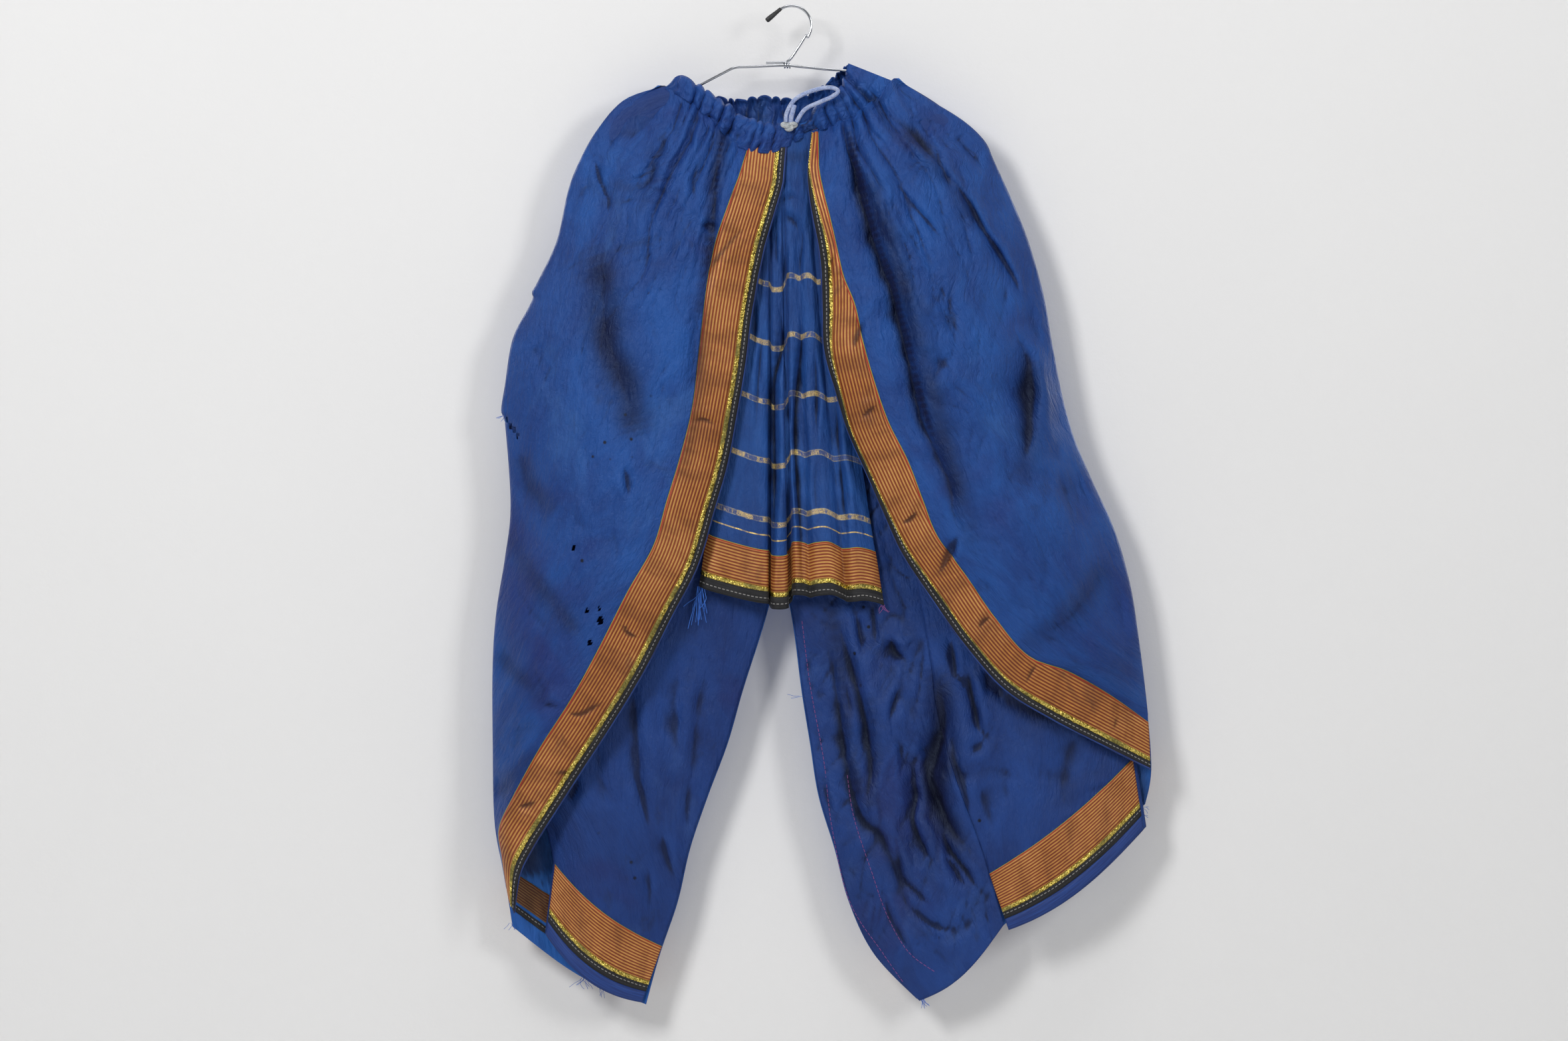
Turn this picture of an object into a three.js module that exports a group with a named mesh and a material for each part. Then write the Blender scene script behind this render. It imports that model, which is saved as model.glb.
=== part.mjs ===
// A dhoti salwar hung from a chrome wire hanger. Millimetres, +Z up, the front faces -Y.
// The origin is the top of the wire hook's inner arc, where the hanger hangs.
// "left" and "right" are as seen from the front, so left is -X.
import * as THREE from 'three';

// Driving dimensions.
const clothWall = 1.6;
const trimWall = 1.0;
const seamGap = 0.3;
const frontDrop = 1.8;            // from the casing's lower edge down to the panels' tops
const backDrop = 1.4;
const layerStep = 2.2;            // between the middles of two cloths sewn into one seam
const wireRadius = 1.45;
const hookRadius = 21;            // of the wire's middle line
const cordRadius = 2.2;
const knotLength = 18;
const gatherPitch = 14;           // of the casing's gathers, side to side
const gatherDepth = 2.2;

// Colours.
const silkBlue = 0x2a4687;
const silkShade = 0x263f76;
const copper = 0xa46938;
const foil = 0xd8c23a;
const bindingBlack = 0x2a2a2c;
const pipingBlue = 0x2f4f9c;
const cordBlue = 0x8a9cc4;
const knotGrey = 0xb0b6ba;
const chrome = 0xc8ccd0;
const rubber = 0x1b1b1b;

const garment = new THREE.Group();

function addMesh(name, geometry, color, roughness = 0.6, metalness = 0) {
  const material = new THREE.MeshStandardMaterial({ color, roughness, metalness });
  const mesh = new THREE.Mesh(geometry, material);
  mesh.name = name;
  garment.add(mesh);
}

// ---- Reading a section table -------------------------------------------------

// The value of a column at t, 0 at the first row and 1 at the last, read straight.
function columnAt(rows, column, t) {
  const k = Math.min(Math.floor(t * (rows.length - 1)), rows.length - 2);
  const f = t * (rows.length - 1) - k;
  return rows[k][column] + f * (rows[k + 1][column] - rows[k][column]);
}

// x at a height, read straight between the rows of a line that runs down.
function xAtHeight(line, z) {
  let k = 0;
  while (k < line.length - 2 && z < line[k + 1].z) k += 1;
  const [above, below] = [line[k], line[k + 1]];
  const f = (z - above.z) / (below.z - above.z);
  return above.x + f * (below.x - above.x);
}

// ---- Making a cloth solid from a grid of points --------------------------------

function gridNormals(points) {
  const [lastI, lastJ] = [points.length - 1, points[0].length - 1];
  return points.map((line, i) => line.map((_, j) => {
    const alongI = points[Math.min(i + 1, lastI)][j].clone().sub(points[Math.max(i - 1, 0)][j]);
    const alongJ = points[i][Math.min(j + 1, lastJ)].clone().sub(points[i][Math.max(j - 1, 0)]);
    return alongI.cross(alongJ).normalize();
  }));
}

// A sheet keeps its middle points and its normals, which face -Y.
function makeSheet(points) {
  const normals = gridNormals(points);
  const sum = normals.flat().reduce((total, n) => total + n.y, 0);
  if (sum > 0) normals.flat().forEach((n) => n.negate());
  return { points, normals };
}

// A closed wall whose two faces lie at low and high along the sheet's normals.
function wallGeometry(sheet, low, high) {
  const { points, normals } = sheet;
  const [countI, countJ] = [points.length, points[0].length];
  const position = [];
  for (const shift of [low, high]) {
    points.forEach((line, i) => line.forEach((p, j) => {
      const q = p.clone().addScaledVector(normals[i][j], shift);
      position.push(q.x, q.y, q.z);
    }));
  }
  const layer = countI * countJ;
  const id = (side, i, j) => side * layer + i * countJ + j;
  const index = [];
  const quad = (a, b, c, d) => index.push(a, b, c, a, c, d);
  for (let i = 0; i < countI - 1; i += 1) {
    for (let j = 0; j < countJ - 1; j += 1) {
      quad(id(0, i, j), id(0, i + 1, j), id(0, i + 1, j + 1), id(0, i, j + 1));
      quad(id(1, i, j), id(1, i, j + 1), id(1, i + 1, j + 1), id(1, i + 1, j));
    }
    quad(id(0, i + 1, 0), id(0, i, 0), id(1, i, 0), id(1, i + 1, 0));
    quad(id(0, i, countJ - 1), id(0, i + 1, countJ - 1), id(1, i + 1, countJ - 1), id(1, i, countJ - 1));
  }
  for (let j = 0; j < countJ - 1; j += 1) {
    quad(id(0, 0, j), id(0, 0, j + 1), id(1, 0, j + 1), id(1, 0, j));
    quad(id(0, countI - 1, j + 1), id(0, countI - 1, j), id(1, countI - 1, j), id(1, countI - 1, j + 1));
  }
  const geometry = new THREE.BufferGeometry();
  geometry.setAttribute('position', new THREE.Float32BufferAttribute(position, 3));
  geometry.setIndex(signedVolume(position, index) < 0 ? reversed(index) : index);
  return geometry;
}

function signedVolume(position, index) {
  let volume = 0;
  const [a, b, c] = [new THREE.Vector3(), new THREE.Vector3(), new THREE.Vector3()];
  for (let k = 0; k < index.length; k += 3) {
    [a, b, c].forEach((p, n) => p.fromArray(position, 3 * index[k + n]));
    volume += a.dot(b.cross(c)) / 6;
  }
  return volume;
}

function reversed(index) {
  const turned = [];
  for (let k = 0; k < index.length; k += 3) turned.push(index[k], index[k + 2], index[k + 1]);
  return turned;
}

function addCloth(name, sheet, color) {
  addMesh(name, wallGeometry(sheet, -clothWall / 2, clothWall / 2), color);
}

// The part of a sheet between two distances along i, for a trim that lies on it.
function stripOf(sheet, from, to) {
  const steps = [from];
  for (let i = Math.ceil(from + 0.01); i < to - 0.01; i += 1) steps.push(i);
  steps.push(to);
  const blend = (grid, s) => {
    const i = Math.min(Math.floor(s), grid.length - 2);
    return grid[i].map((p, j) => p.clone().lerp(grid[i + 1][j], s - i));
  };
  return {
    points: steps.map((s) => blend(sheet.points, s)),
    normals: steps.map((s) => blend(sheet.normals, s)),
  };
}

// The trims of a border, laid side by side on the panel's first strips.
function addTrims(name, sheet, trims) {
  const low = clothWall / 2 + 1.5 * seamGap;
  for (const { part, first, last, color, metalness } of trims) {
    const strip = stripOf(sheet, first + 0.1, last - 0.1);
    addMesh(`${name}_${part}`, wallGeometry(strip, low, low + trimWall), color, 0.6, metalness);
  }
}

// ---- The outline lines that several panels share --------------------------------

const leftSeam = [
  { z: -86, x: -134 }, { z: -100, x: -178 }, { z: -131, x: -206 }, { z: -163, x: -224 },
  { z: -194, x: -236 }, { z: -247, x: -248 }, { z: -359, x: -295 }, { z: -415, x: -306 },
  { z: -527, x: -298 }, { z: -639, x: -312 }, { z: -695, x: -316 }, { z: -863, x: -314 },
  { z: -919, x: -304 }, { z: -976, x: -295 },
];
const rightSeam = [
  { z: -79, x: 108 }, { z: -100, x: 148 }, { z: -121, x: 182 }, { z: -142, x: 204 },
  { z: -163, x: 214 }, { z: -247, x: 250 }, { z: -415, x: 287 }, { z: -499, x: 317 },
  { z: -555, x: 342 }, { z: -667, x: 367 }, { z: -807, x: 381 }, { z: -846, x: 374 },
];
const leftInseam = [
  { z: -150, x: -30 }, { z: -400, x: -22 }, { z: -628, x: -16 }, { z: -667, x: -31 },
  { z: -723, x: -52 }, { z: -779, x: -68 }, { z: -835, x: -89 }, { z: -891, x: -108 },
  { z: -947, x: -121 }, { z: -1003, x: -140 }, { z: -1057, x: -155 },
];
const rightInseam = [
  { z: -150, x: -29.4 }, { z: -400, x: -21.4 }, { z: -628, x: -14 }, { z: -639, x: -10 },
  { z: -667, x: 3 }, { z: -723, x: 11 }, { z: -779, x: 20 }, { z: -835, x: 29 },
  { z: -891, x: 46 }, { z: -947, x: 61 }, { z: -1003, x: 88 }, { z: -1053, x: 136 },
];
const goreSeam = [
  { z: -128, x: 41 }, { z: -240, x: 58 }, { z: -345, x: 76 }, { z: -450, x: 97 },
  { z: -541, x: 119 }, { z: -625, x: 135 }, { z: -695, x: 147 }, { z: -742, x: 153 },
  { z: -813, x: 172 }, { z: -895, x: 202 }, { z: -970, x: 222 },
];

// The side seams' y: in front of the hanger's arms at the waist, further back at the hem.
const seamDepth = (z) => 2 - 3 * Math.min(1, Math.max(0, (z + 1000) / 700));

function rounded(s, power) {
  return Math.sin(Math.PI * Math.min(Math.max(s, 0), 1)) ** power;
}

// ---- The gathered waist casing -----------------------------------------------------

// A row for each section, left to right: the casing's upper and lower edge, and its y.
const frontCasing = [
  { topX: -132, topZ: -84, footX: -134, footZ: -86.6, y: -2.6 },
  { topX: -117, topZ: -77, footX: -118, footZ: -96, y: -10 },
  { topX: -94, topZ: -88, footX: -101, footZ: -108, y: -16 },
  { topX: -66, topZ: -108, footX: -77, footZ: -131, y: -20 },
  { topX: -42, topZ: -122, footX: -54, footZ: -151, y: -22 },
  { topX: -15, topZ: -128, footX: -20, footZ: -156, y: -22 },
  { topX: 13, topZ: -124, footX: 18, footZ: -137, y: -21 },
  { topX: 31, topZ: -104, footX: 42, footZ: -129, y: -18 },
  { topX: 50, topZ: -90, footX: 66, footZ: -118, y: -14 },
  { topX: 57, topZ: -73, footX: 88, footZ: -101, y: -9 },
  { topX: 60, topZ: -60, footX: 108, footZ: -79, y: -3.4 },
];
const backCasing = [
  { topX: -132, topZ: -84, footX: -134, footZ: -86.6, y: 2.6 },
  { topX: -115, topZ: -79, footX: -118, footZ: -99, y: 10 },
  { topX: -90, topZ: -92, footX: -93, footZ: -118, y: 15 },
  { topX: -60, topZ: -99, footX: -62, footZ: -127, y: 17 },
  { topX: -30, topZ: -95, footX: -30, footZ: -127, y: 18 },
  { topX: 0, topZ: -98, footX: 2, footZ: -127, y: 17 },
  { topX: 28, topZ: -88, footX: 34, footZ: -117, y: 15 },
  { topX: 48, topZ: -72, footX: 66, footZ: -104, y: 11 },
  { topX: 60, topZ: -60, footX: 108, footZ: -79, y: 3.4 },
];
const casingColumns = 44;

function casingSheet(sections) {
  const rows = [0, 0.5, 1].map((share) => {
    const line = [];
    for (let j = 0; j <= casingColumns; j += 1) {
      const t = j / casingColumns;
      const at = (column) => columnAt(sections, column, t);
      const x = at('topX') + (at('footX') - at('topX')) * share;
      const z = at('topZ') + (at('footZ') - at('topZ')) * share;
      const calm = Math.min(1, 6 * t, 6 * (1 - t));
      const y = at('y') + calm * gatherDepth * Math.sin((2 * Math.PI * x) / gatherPitch);
      line.push(new THREE.Vector3(x, y, z));
    }
    return line;
  });
  return makeSheet(rows);
}

addCloth('waist_casing_front', casingSheet(frontCasing), silkShade);
addCloth('waist_casing_back', casingSheet(backCasing), silkShade);

// The place in the casing's lower seam below which a panel's top edge hangs at x.
function underCasing(sections, x) {
  const drop = sections === backCasing ? backDrop : frontDrop;
  let k = 0;
  while (k < sections.length - 2 && x > sections[k + 1].footX) k += 1;
  const [here, next] = [sections[k], sections[k + 1]];
  const f = Math.min(Math.max((x - here.footX) / (next.footX - here.footX), 0), 1);
  return {
    y: here.y + f * (next.y - here.y),
    z: here.footZ + f * (next.footZ - here.footZ) - drop,
  };
}

// ---- Drapes: the outer panel of each leg, from side seam to bordered front edge ----

// A row for each section, top to bottom. edge is the piped front edge, band the outer
// line of the copper band, seamZ the height where the section meets the side seam.
// depth is the y of the front edge, and belly how far the cloth stands out in front.
const leftDrape = [
  { edgeX: -4, edgeZ: -157, bandX: -46, bandZ: -155, seamZ: -87, depth: -24, belly: 6 },
  { edgeX: -8, edgeZ: -187, bandX: -56, bandZ: -182, seamZ: -100, depth: -29, belly: 13 },
  { edgeX: -17, edgeZ: -219, bandX: -67, bandZ: -212, seamZ: -131, depth: -33, belly: 20 },
  { edgeX: -28, edgeZ: -257, bandX: -79, bandZ: -250, seamZ: -163, depth: -35, belly: 26 },
  { edgeX: -36, edgeZ: -296, bandX: -88, bandZ: -289, seamZ: -219, depth: -36, belly: 30 },
  { edgeX: -43, edgeZ: -338, bandX: -93, bandZ: -329, seamZ: -275, depth: -36, belly: 33 },
  { edgeX: -48, edgeZ: -380, bandX: -98, bandZ: -373, seamZ: -331, depth: -36, belly: 35 },
  { edgeX: -57, edgeZ: -432, bandX: -104, bandZ: -423, seamZ: -387, depth: -36, belly: 36 },
  { edgeX: -67, edgeZ: -485, bandX: -116, bandZ: -473, seamZ: -450, depth: -37, belly: 37 },
  { edgeX: -82, edgeZ: -537, bandX: -131, bandZ: -523, seamZ: -513, depth: -39, belly: 37 },
  { edgeX: -99, edgeZ: -593, bandX: -145, bandZ: -570, seamZ: -579, depth: -40, belly: 36 },
  { edgeX: -126, edgeZ: -646, bandX: -172, bandZ: -618, seamZ: -639, depth: -40, belly: 34 },
  { edgeX: -155, edgeZ: -703, bandX: -202, bandZ: -677, seamZ: -695, depth: -38, belly: 31 },
  { edgeX: -189, edgeZ: -759, bandX: -231, bandZ: -730, seamZ: -744, depth: -36, belly: 27 },
  { edgeX: -221, edgeZ: -808, bandX: -264, bandZ: -782, seamZ: -786, depth: -33, belly: 22 },
  { edgeX: -248, edgeZ: -850, bandX: -291, bandZ: -831, seamZ: -824, depth: -29, belly: 16 },
  { edgeX: -270, edgeZ: -885, bandX: -308, bandZ: -868, seamZ: -862, depth: -27, belly: 12 },
  { edgeX: -286, edgeZ: -917, bandX: -305, bandZ: -899, seamZ: -894, depth: -23, belly: 9 },
  { edgeX: -293, edgeZ: -958, bandX: -299.5, bandZ: -936, seamZ: -931, depth: -18, belly: 7 },
];
const rightDrape = [
  { edgeX: 21, edgeZ: -137, bandX: 28, bandZ: -135, seamZ: -80, depth: -22, belly: 5 },
  { edgeX: 17, edgeZ: -170, bandX: 29, bandZ: -170, seamZ: -100, depth: -29, belly: 12 },
  { edgeX: 18, edgeZ: -198, bandX: 34, bandZ: -198, seamZ: -121, depth: -33, belly: 19 },
  { edgeX: 22, edgeZ: -226, bandX: 41, bandZ: -226, seamZ: -142, depth: -35, belly: 25 },
  { edgeX: 28, edgeZ: -257, bandX: 48, bandZ: -257, seamZ: -173, depth: -36, belly: 29 },
  { edgeX: 31, edgeZ: -289, bandX: 55, bandZ: -287, seamZ: -219, depth: -36, belly: 33 },
  { edgeX: 32, edgeZ: -324, bandX: 67, bandZ: -318, seamZ: -264, depth: -36, belly: 36 },
  { edgeX: 34, edgeZ: -366, bandX: 76, bandZ: -359, seamZ: -317, depth: -37, belly: 38 },
  { edgeX: 46, edgeZ: -408, bandX: 88, bandZ: -401, seamZ: -373, depth: -38, belly: 40 },
  { edgeX: 59, edgeZ: -450, bandX: 102, bandZ: -441, seamZ: -429, depth: -39, belly: 41 },
  { edgeX: 79, edgeZ: -495, bandX: 122, bandZ: -481, seamZ: -485, depth: -40, belly: 41 },
  { edgeX: 97, edgeZ: -537, bandX: 138, bandZ: -523, seamZ: -534, depth: -41, belly: 40 },
  { edgeX: 116, edgeZ: -579, bandX: 153, bandZ: -560, seamZ: -579, depth: -42, belly: 37 },
  { edgeX: 146, edgeZ: -625, bandX: 182, bandZ: -600, seamZ: -625, depth: -42, belly: 33 },
  { edgeX: 181, edgeZ: -674, bandX: 211, bandZ: -642, seamZ: -663, depth: -40, belly: 28 },
  { edgeX: 223, edgeZ: -721, bandX: 247, bandZ: -684, seamZ: -688, depth: -37, belly: 22 },
  { edgeX: 272, edgeZ: -752, bandX: 291, bandZ: -702, seamZ: -709, depth: -32, belly: 16 },
  { edgeX: 324, edgeZ: -779, bandX: 333, bandZ: -726, seamZ: -730, depth: -24, belly: 10 },
  { edgeX: 379, edgeZ: -807, bandX: 377, bandZ: -757, seamZ: -749, depth: -8, belly: 2 },
];
// Shares of the border's width, edge to outer line.
const borderShares = [0, 0.06, 0.22, 0.31, 0.65, 1];
const drapeTrims = [
  { part: 'piping', first: 0, last: 1, color: pipingBlue, metalness: 0 },
  { part: 'binding', first: 1, last: 2, color: bindingBlack, metalness: 0 },
  { part: 'gold_line', first: 2, last: 3, color: foil, metalness: 0.8 },
  { part: 'band', first: 3, last: 5, color: copper, metalness: 0 },
];
// The largest folds of a drape. across is the share of the way from the edge to the
// seam at the fold's top and foot, down the share of the height, dip its depth.
const leftFolds = [
  { acrossTop: 0.36, acrossFoot: 0.22, downTop: 0.0, downFoot: 0.5, width: 0.07, dip: 14 },
  { acrossTop: 0.62, acrossFoot: 0.62, downTop: 0.0, downFoot: 0.3, width: 0.08, dip: 9 },
  { acrossTop: 0.84, acrossFoot: 0.86, downTop: 0.1, downFoot: 0.55, width: 0.09, dip: 6 },
];
const rightFolds = [
  { acrossTop: 0.3, acrossFoot: 0.2, downTop: 0.05, downFoot: 0.62, width: 0.07, dip: 17 },
  { acrossTop: 0.55, acrossFoot: 0.8, downTop: 0.05, downFoot: 0.45, width: 0.08, dip: 12 },
  { acrossTop: 0.6, acrossFoot: 0.5, downTop: 0.5, downFoot: 0.8, width: 0.12, dip: 6 },
];

function foldDip(folds, s, t) {
  let dip = 0;
  for (const fold of folds) {
    const f = (t - fold.downTop) / (fold.downFoot - fold.downTop);
    if (f < 0 || f > 1) continue;
    const line = fold.acrossTop + f * (fold.acrossFoot - fold.acrossTop);
    const near = (s - line) / fold.width;
    dip += fold.dip * Math.exp(-near * near) * Math.min(1, 4 * (1 - f), 0.4 + 4 * f);
  }
  return dip;
}

function drapeSheet(sections, seam, folds, bodyColumns, layer) {
  const rows = sections.length;
  const shares = [...borderShares];
  for (let k = 1; k <= bodyColumns; k += 1) shares.push(1 + k / bodyColumns);
  const points = shares.map((share) => sections.map((row, j) => {
    const edge = new THREE.Vector2(row.edgeX, row.edgeZ);
    const band = new THREE.Vector2(row.bandX, row.bandZ);
    const side = new THREE.Vector2(xAtHeight(seam, row.seamZ), row.seamZ);
    const border = edge.distanceTo(band);
    const width = border + band.distanceTo(side);
    const flat = share <= 1 ? edge.clone().lerp(band, share) : band.clone().lerp(side, share - 1);
    const walked = share <= 1 ? share * border : border + (share - 1) * (width - border);
    const s = walked / width;
    const t = j / (rows - 1);
    const base = row.depth + (seamDepth(flat.y) - layer - row.depth) * s ** 2;
    if (j === 0) {
      const under = underCasing(frontCasing, flat.x);
      return new THREE.Vector3(flat.x, under.y - layer, under.z);
    }
    const y = base - row.belly * rounded(s, 0.8) + foldDip(folds, s, t);
    return new THREE.Vector3(flat.x, y, flat.y);
  }));
  return makeSheet(points);
}

const leftDrapeSheet = drapeSheet(leftDrape, leftSeam, leftFolds, 8, layerStep);
addCloth('drape_left', leftDrapeSheet, silkBlue);
addTrims('drape_left', leftDrapeSheet, drapeTrims);
const rightDrapeSheet = drapeSheet(rightDrape, rightSeam, rightFolds, 9, layerStep);
addCloth('drape_right', rightDrapeSheet, silkBlue);
addTrims('drape_right', rightDrapeSheet, drapeTrims);

// ---- Leg panels: front, gore and back -------------------------------------------

// A section runs from the outer line at outerZ to the inner line at innerZ, top to bottom,
// and its inner end lies at innerY. swell is how far its middle stands off the line
// between its ends, and the lower curve is, the sooner it does. sag lowers its middle.
const leftFront = [
  { outerZ: -86.5, innerZ: -153, innerY: -18, swell: 6, curve: 0.5, sag: 0 },
  { outerZ: -131, innerZ: -200, innerY: -10, swell: 12, curve: 0.45, sag: 0 },
  { outerZ: -220, innerZ: -300, innerY: -6, swell: 13, curve: 0.6, sag: 0 },
  { outerZ: -330, innerZ: -410, innerY: -4, swell: 14, curve: 0.9, sag: 0 },
  { outerZ: -450, innerZ: -520, innerY: -2, swell: 15, curve: 0.9, sag: 0 },
  { outerZ: -570, innerZ: -628, innerY: -1, swell: 15, curve: 0.9, sag: 0 },
  { outerZ: -680, innerZ: -740, innerY: 0, swell: 15, curve: 0.9, sag: 0 },
  { outerZ: -780, innerZ: -860, innerY: 0, swell: 15, curve: 0.9, sag: 0 },
  { outerZ: -850, innerZ: -940, innerY: 0, swell: 15, curve: 0.9, sag: 2 },
  { outerZ: -885, innerZ: -977, innerY: 0, swell: 15, curve: 0.9, sag: 4 },
];
const rightFront = [
  { outerZ: -79.5, innerZ: -128, innerY: -18, swell: 6, curve: 0.5, sag: 0 },
  { outerZ: -101, innerZ: -150, innerY: -16, swell: 6, curve: 0.6, sag: 0 },
  { outerZ: -121, innerZ: -190, innerY: -15, swell: 12, curve: 0.45, sag: 0 },
  { outerZ: -220, innerZ: -290, innerY: -14, swell: 12, curve: 0.6, sag: 0 },
  { outerZ: -330, innerZ: -400, innerY: -14, swell: 9, curve: 0.9, sag: 0 },
  { outerZ: -450, innerZ: -520, innerY: -15, swell: 10, curve: 0.9, sag: 0 },
  { outerZ: -560, innerZ: -625, innerY: -16, swell: 11, curve: 0.9, sag: 0 },
  { outerZ: -650, innerZ: -742, innerY: -16, swell: 12, curve: 0.9, sag: 0 },
  { outerZ: -720, innerZ: -830, innerY: -16, swell: 12, curve: 0.9, sag: 4 },
  { outerZ: -765, innerZ: -895, innerY: -16, swell: 12, curve: 0.9, sag: 6 },
];
const rightGore = [
  { outerZ: -128, innerZ: -153, innerY: -18, swell: 0, curve: 0.9, sag: 0 },
  { outerZ: -150, innerZ: -180, innerY: -14, swell: 0, curve: 0.9, sag: 0 },
  { outerZ: -190, innerZ: -210, innerY: -10, swell: 1, curve: 0.9, sag: 0 },
  { outerZ: -290, innerZ: -310, innerY: -6, swell: 2, curve: 0.9, sag: 0 },
  { outerZ: -400, innerZ: -420, innerY: -4, swell: 2, curve: 0.9, sag: 0 },
  { outerZ: -520, innerZ: -530, innerY: -2, swell: 2, curve: 0.9, sag: 0 },
  { outerZ: -625, innerZ: -630, innerY: -1, swell: 3, curve: 0.9, sag: 0 },
  { outerZ: -742, innerZ: -760, innerY: 0, swell: 9, curve: 0.9, sag: 0 },
  { outerZ: -830, innerZ: -870, innerY: 0, swell: 10, curve: 0.9, sag: 0 },
  { outerZ: -895, innerZ: -955, innerY: 0, swell: 9, curve: 0.9, sag: 0 },
  { outerZ: -942, innerZ: -1010, innerY: 0, swell: 7, curve: 0.9, sag: 8 },
  { outerZ: -970, innerZ: -1052, innerY: 0, swell: 5, curve: 0.9, sag: 14 },
];
const leftBack = [
  { outerZ: -86.5, innerZ: -128, innerY: 17, swell: 6, curve: 0.5, sag: 0 },
  { outerZ: -131, innerZ: -190, innerY: 16, swell: 10, curve: 0.45, sag: 0 },
  { outerZ: -220, innerZ: -290, innerY: 14, swell: 11, curve: 0.6, sag: 0 },
  { outerZ: -330, innerZ: -400, innerY: 11, swell: 13, curve: 0.6, sag: 0 },
  { outerZ: -450, innerZ: -510, innerY: 8, swell: 15, curve: 0.6, sag: 0 },
  { outerZ: -570, innerZ: -628, innerY: 4, swell: 16, curve: 0.6, sag: 0 },
  { outerZ: -680, innerZ: -740, innerY: 2.2, swell: 16, curve: 0.6, sag: 0 },
  { outerZ: -780, innerZ: -860, innerY: 2.2, swell: 15, curve: 0.6, sag: 0 },
  { outerZ: -880, innerZ: -960, innerY: 2.2, swell: 13, curve: 0.6, sag: 0 },
  { outerZ: -974, innerZ: -1056, innerY: 2.2, swell: 11, curve: 0.6, sag: 12 },
];
const rightBack = [
  { outerZ: -79.5, innerZ: -128, innerY: 17, swell: 6, curve: 0.5, sag: 0 },
  { outerZ: -121, innerZ: -190, innerY: 16, swell: 10, curve: 0.45, sag: 0 },
  { outerZ: -220, innerZ: -290, innerY: 14, swell: 11, curve: 0.6, sag: 0 },
  { outerZ: -330, innerZ: -400, innerY: 11, swell: 13, curve: 0.6, sag: 0 },
  { outerZ: -450, innerZ: -510, innerY: 8, swell: 15, curve: 0.6, sag: 0 },
  { outerZ: -560, innerZ: -628, innerY: 4, swell: 16, curve: 0.6, sag: 0 },
  { outerZ: -650, innerZ: -740, innerY: 2.2, swell: 16, curve: 0.6, sag: 0 },
  { outerZ: -730, innerZ: -860, innerY: 2.2, swell: 15, curve: 0.6, sag: 0 },
  { outerZ: -790, innerZ: -960, innerY: 2.2, swell: 13, curve: 0.6, sag: 0 },
  { outerZ: -844, innerZ: -1050, innerY: 2.2, swell: 10, curve: 0.6, sag: 2 },
];

// Below a leg panel's last section its border hangs, the tallest trim on top.
const legBorder = [
  { part: 'band', height: 47, color: copper, metalness: 0 },
  { part: 'gold_line', height: 4.5, color: foil, metalness: 0.8 },
  { part: 'binding', height: 9, color: bindingBlack, metalness: 0 },
  { part: 'facing', height: 15, color: pipingBlue, metalness: 0 },
];

// Sections at the corners of the outer line, so that the panel's side follows its seam.
function sectionsAlong(sections, outer) {
  const [top, foot] = [sections[0].outerZ, sections[sections.length - 1].outerZ];
  const corners = outer.map(({ z }) => z).filter((z) => z < top - 4 && z > foot + 12);
  return [top, ...corners, foot].map((z) => {
    let k = 0;
    while (k < sections.length - 2 && z < sections[k + 1].outerZ) k += 1;
    const [above, below] = [sections[k], sections[k + 1]];
    const f = (z - above.outerZ) / (below.outerZ - above.outerZ);
    const section = {};
    for (const column of Object.keys(above)) {
      section[column] = above[column] + f * (below[column] - above[column]);
    }
    return section;
  });
}

// side is -1 for a panel in front and 1 for one behind. casing is what its top edge
// hangs from, and layer how far behind it. outerY, where given, is the outer end's y.
function legRows(sections, panel) {
  const { outer, inner, side, casing, columns, layer } = panel;
  const point = (row, s, isTop) => {
    const x0 = xAtHeight(outer, row.outerZ) + panel.outerInset;
    const x1 = xAtHeight(inner, row.innerZ) + panel.innerInset;
    const x = x0 + (x1 - x0) * s;
    if (isTop) {
      const under = underCasing(casing, x);
      return new THREE.Vector3(x, under.y + layer, under.z);
    }
    const y0 = panel.outerY ?? seamDepth(row.outerZ) + (side > 0 ? layerStep : 0);
    const y = y0 + (row.innerY - y0) * s + side * row.swell * rounded(s, row.curve);
    const z = row.outerZ + (row.innerZ - row.outerZ) * s - row.sag * rounded(s, 1);
    return new THREE.Vector3(x, y, z);
  };
  return sectionsAlong(sections, outer).map((row, i) => {
    const line = [];
    for (let j = 0; j <= columns; j += 1) line.push(point(row, j / columns, i === 0));
    return line;
  });
}

// Adds a row of points for the foot of each trim. outerDrift and innerDrift are how far
// the border's two ends move along X for each millimetre down.
function withBorder(rows, outerDrift, innerDrift) {
  let last = rows[rows.length - 1];
  for (const trim of legBorder) {
    last = last.map((p, j) => {
      const drift = outerDrift + (innerDrift - outerDrift) * (j / (last.length - 1));
      return new THREE.Vector3(p.x + drift * trim.height, p.y, p.z - trim.height);
    });
    rows.push(last);
  }
  return rows;
}

// The border's trims start one column in, clear of the side seam.
function addLegTrims(name, sheet) {
  const firstStrip = sheet.points.length - 1 - legBorder.length;
  const visible = {
    points: sheet.points.map((line) => line.slice(1)),
    normals: sheet.normals.map((line) => line.slice(1)),
  };
  addTrims(name, visible, legBorder.map((trim, k) => (
    { ...trim, first: firstStrip + k, last: firstStrip + k + 1 })));
}

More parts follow.
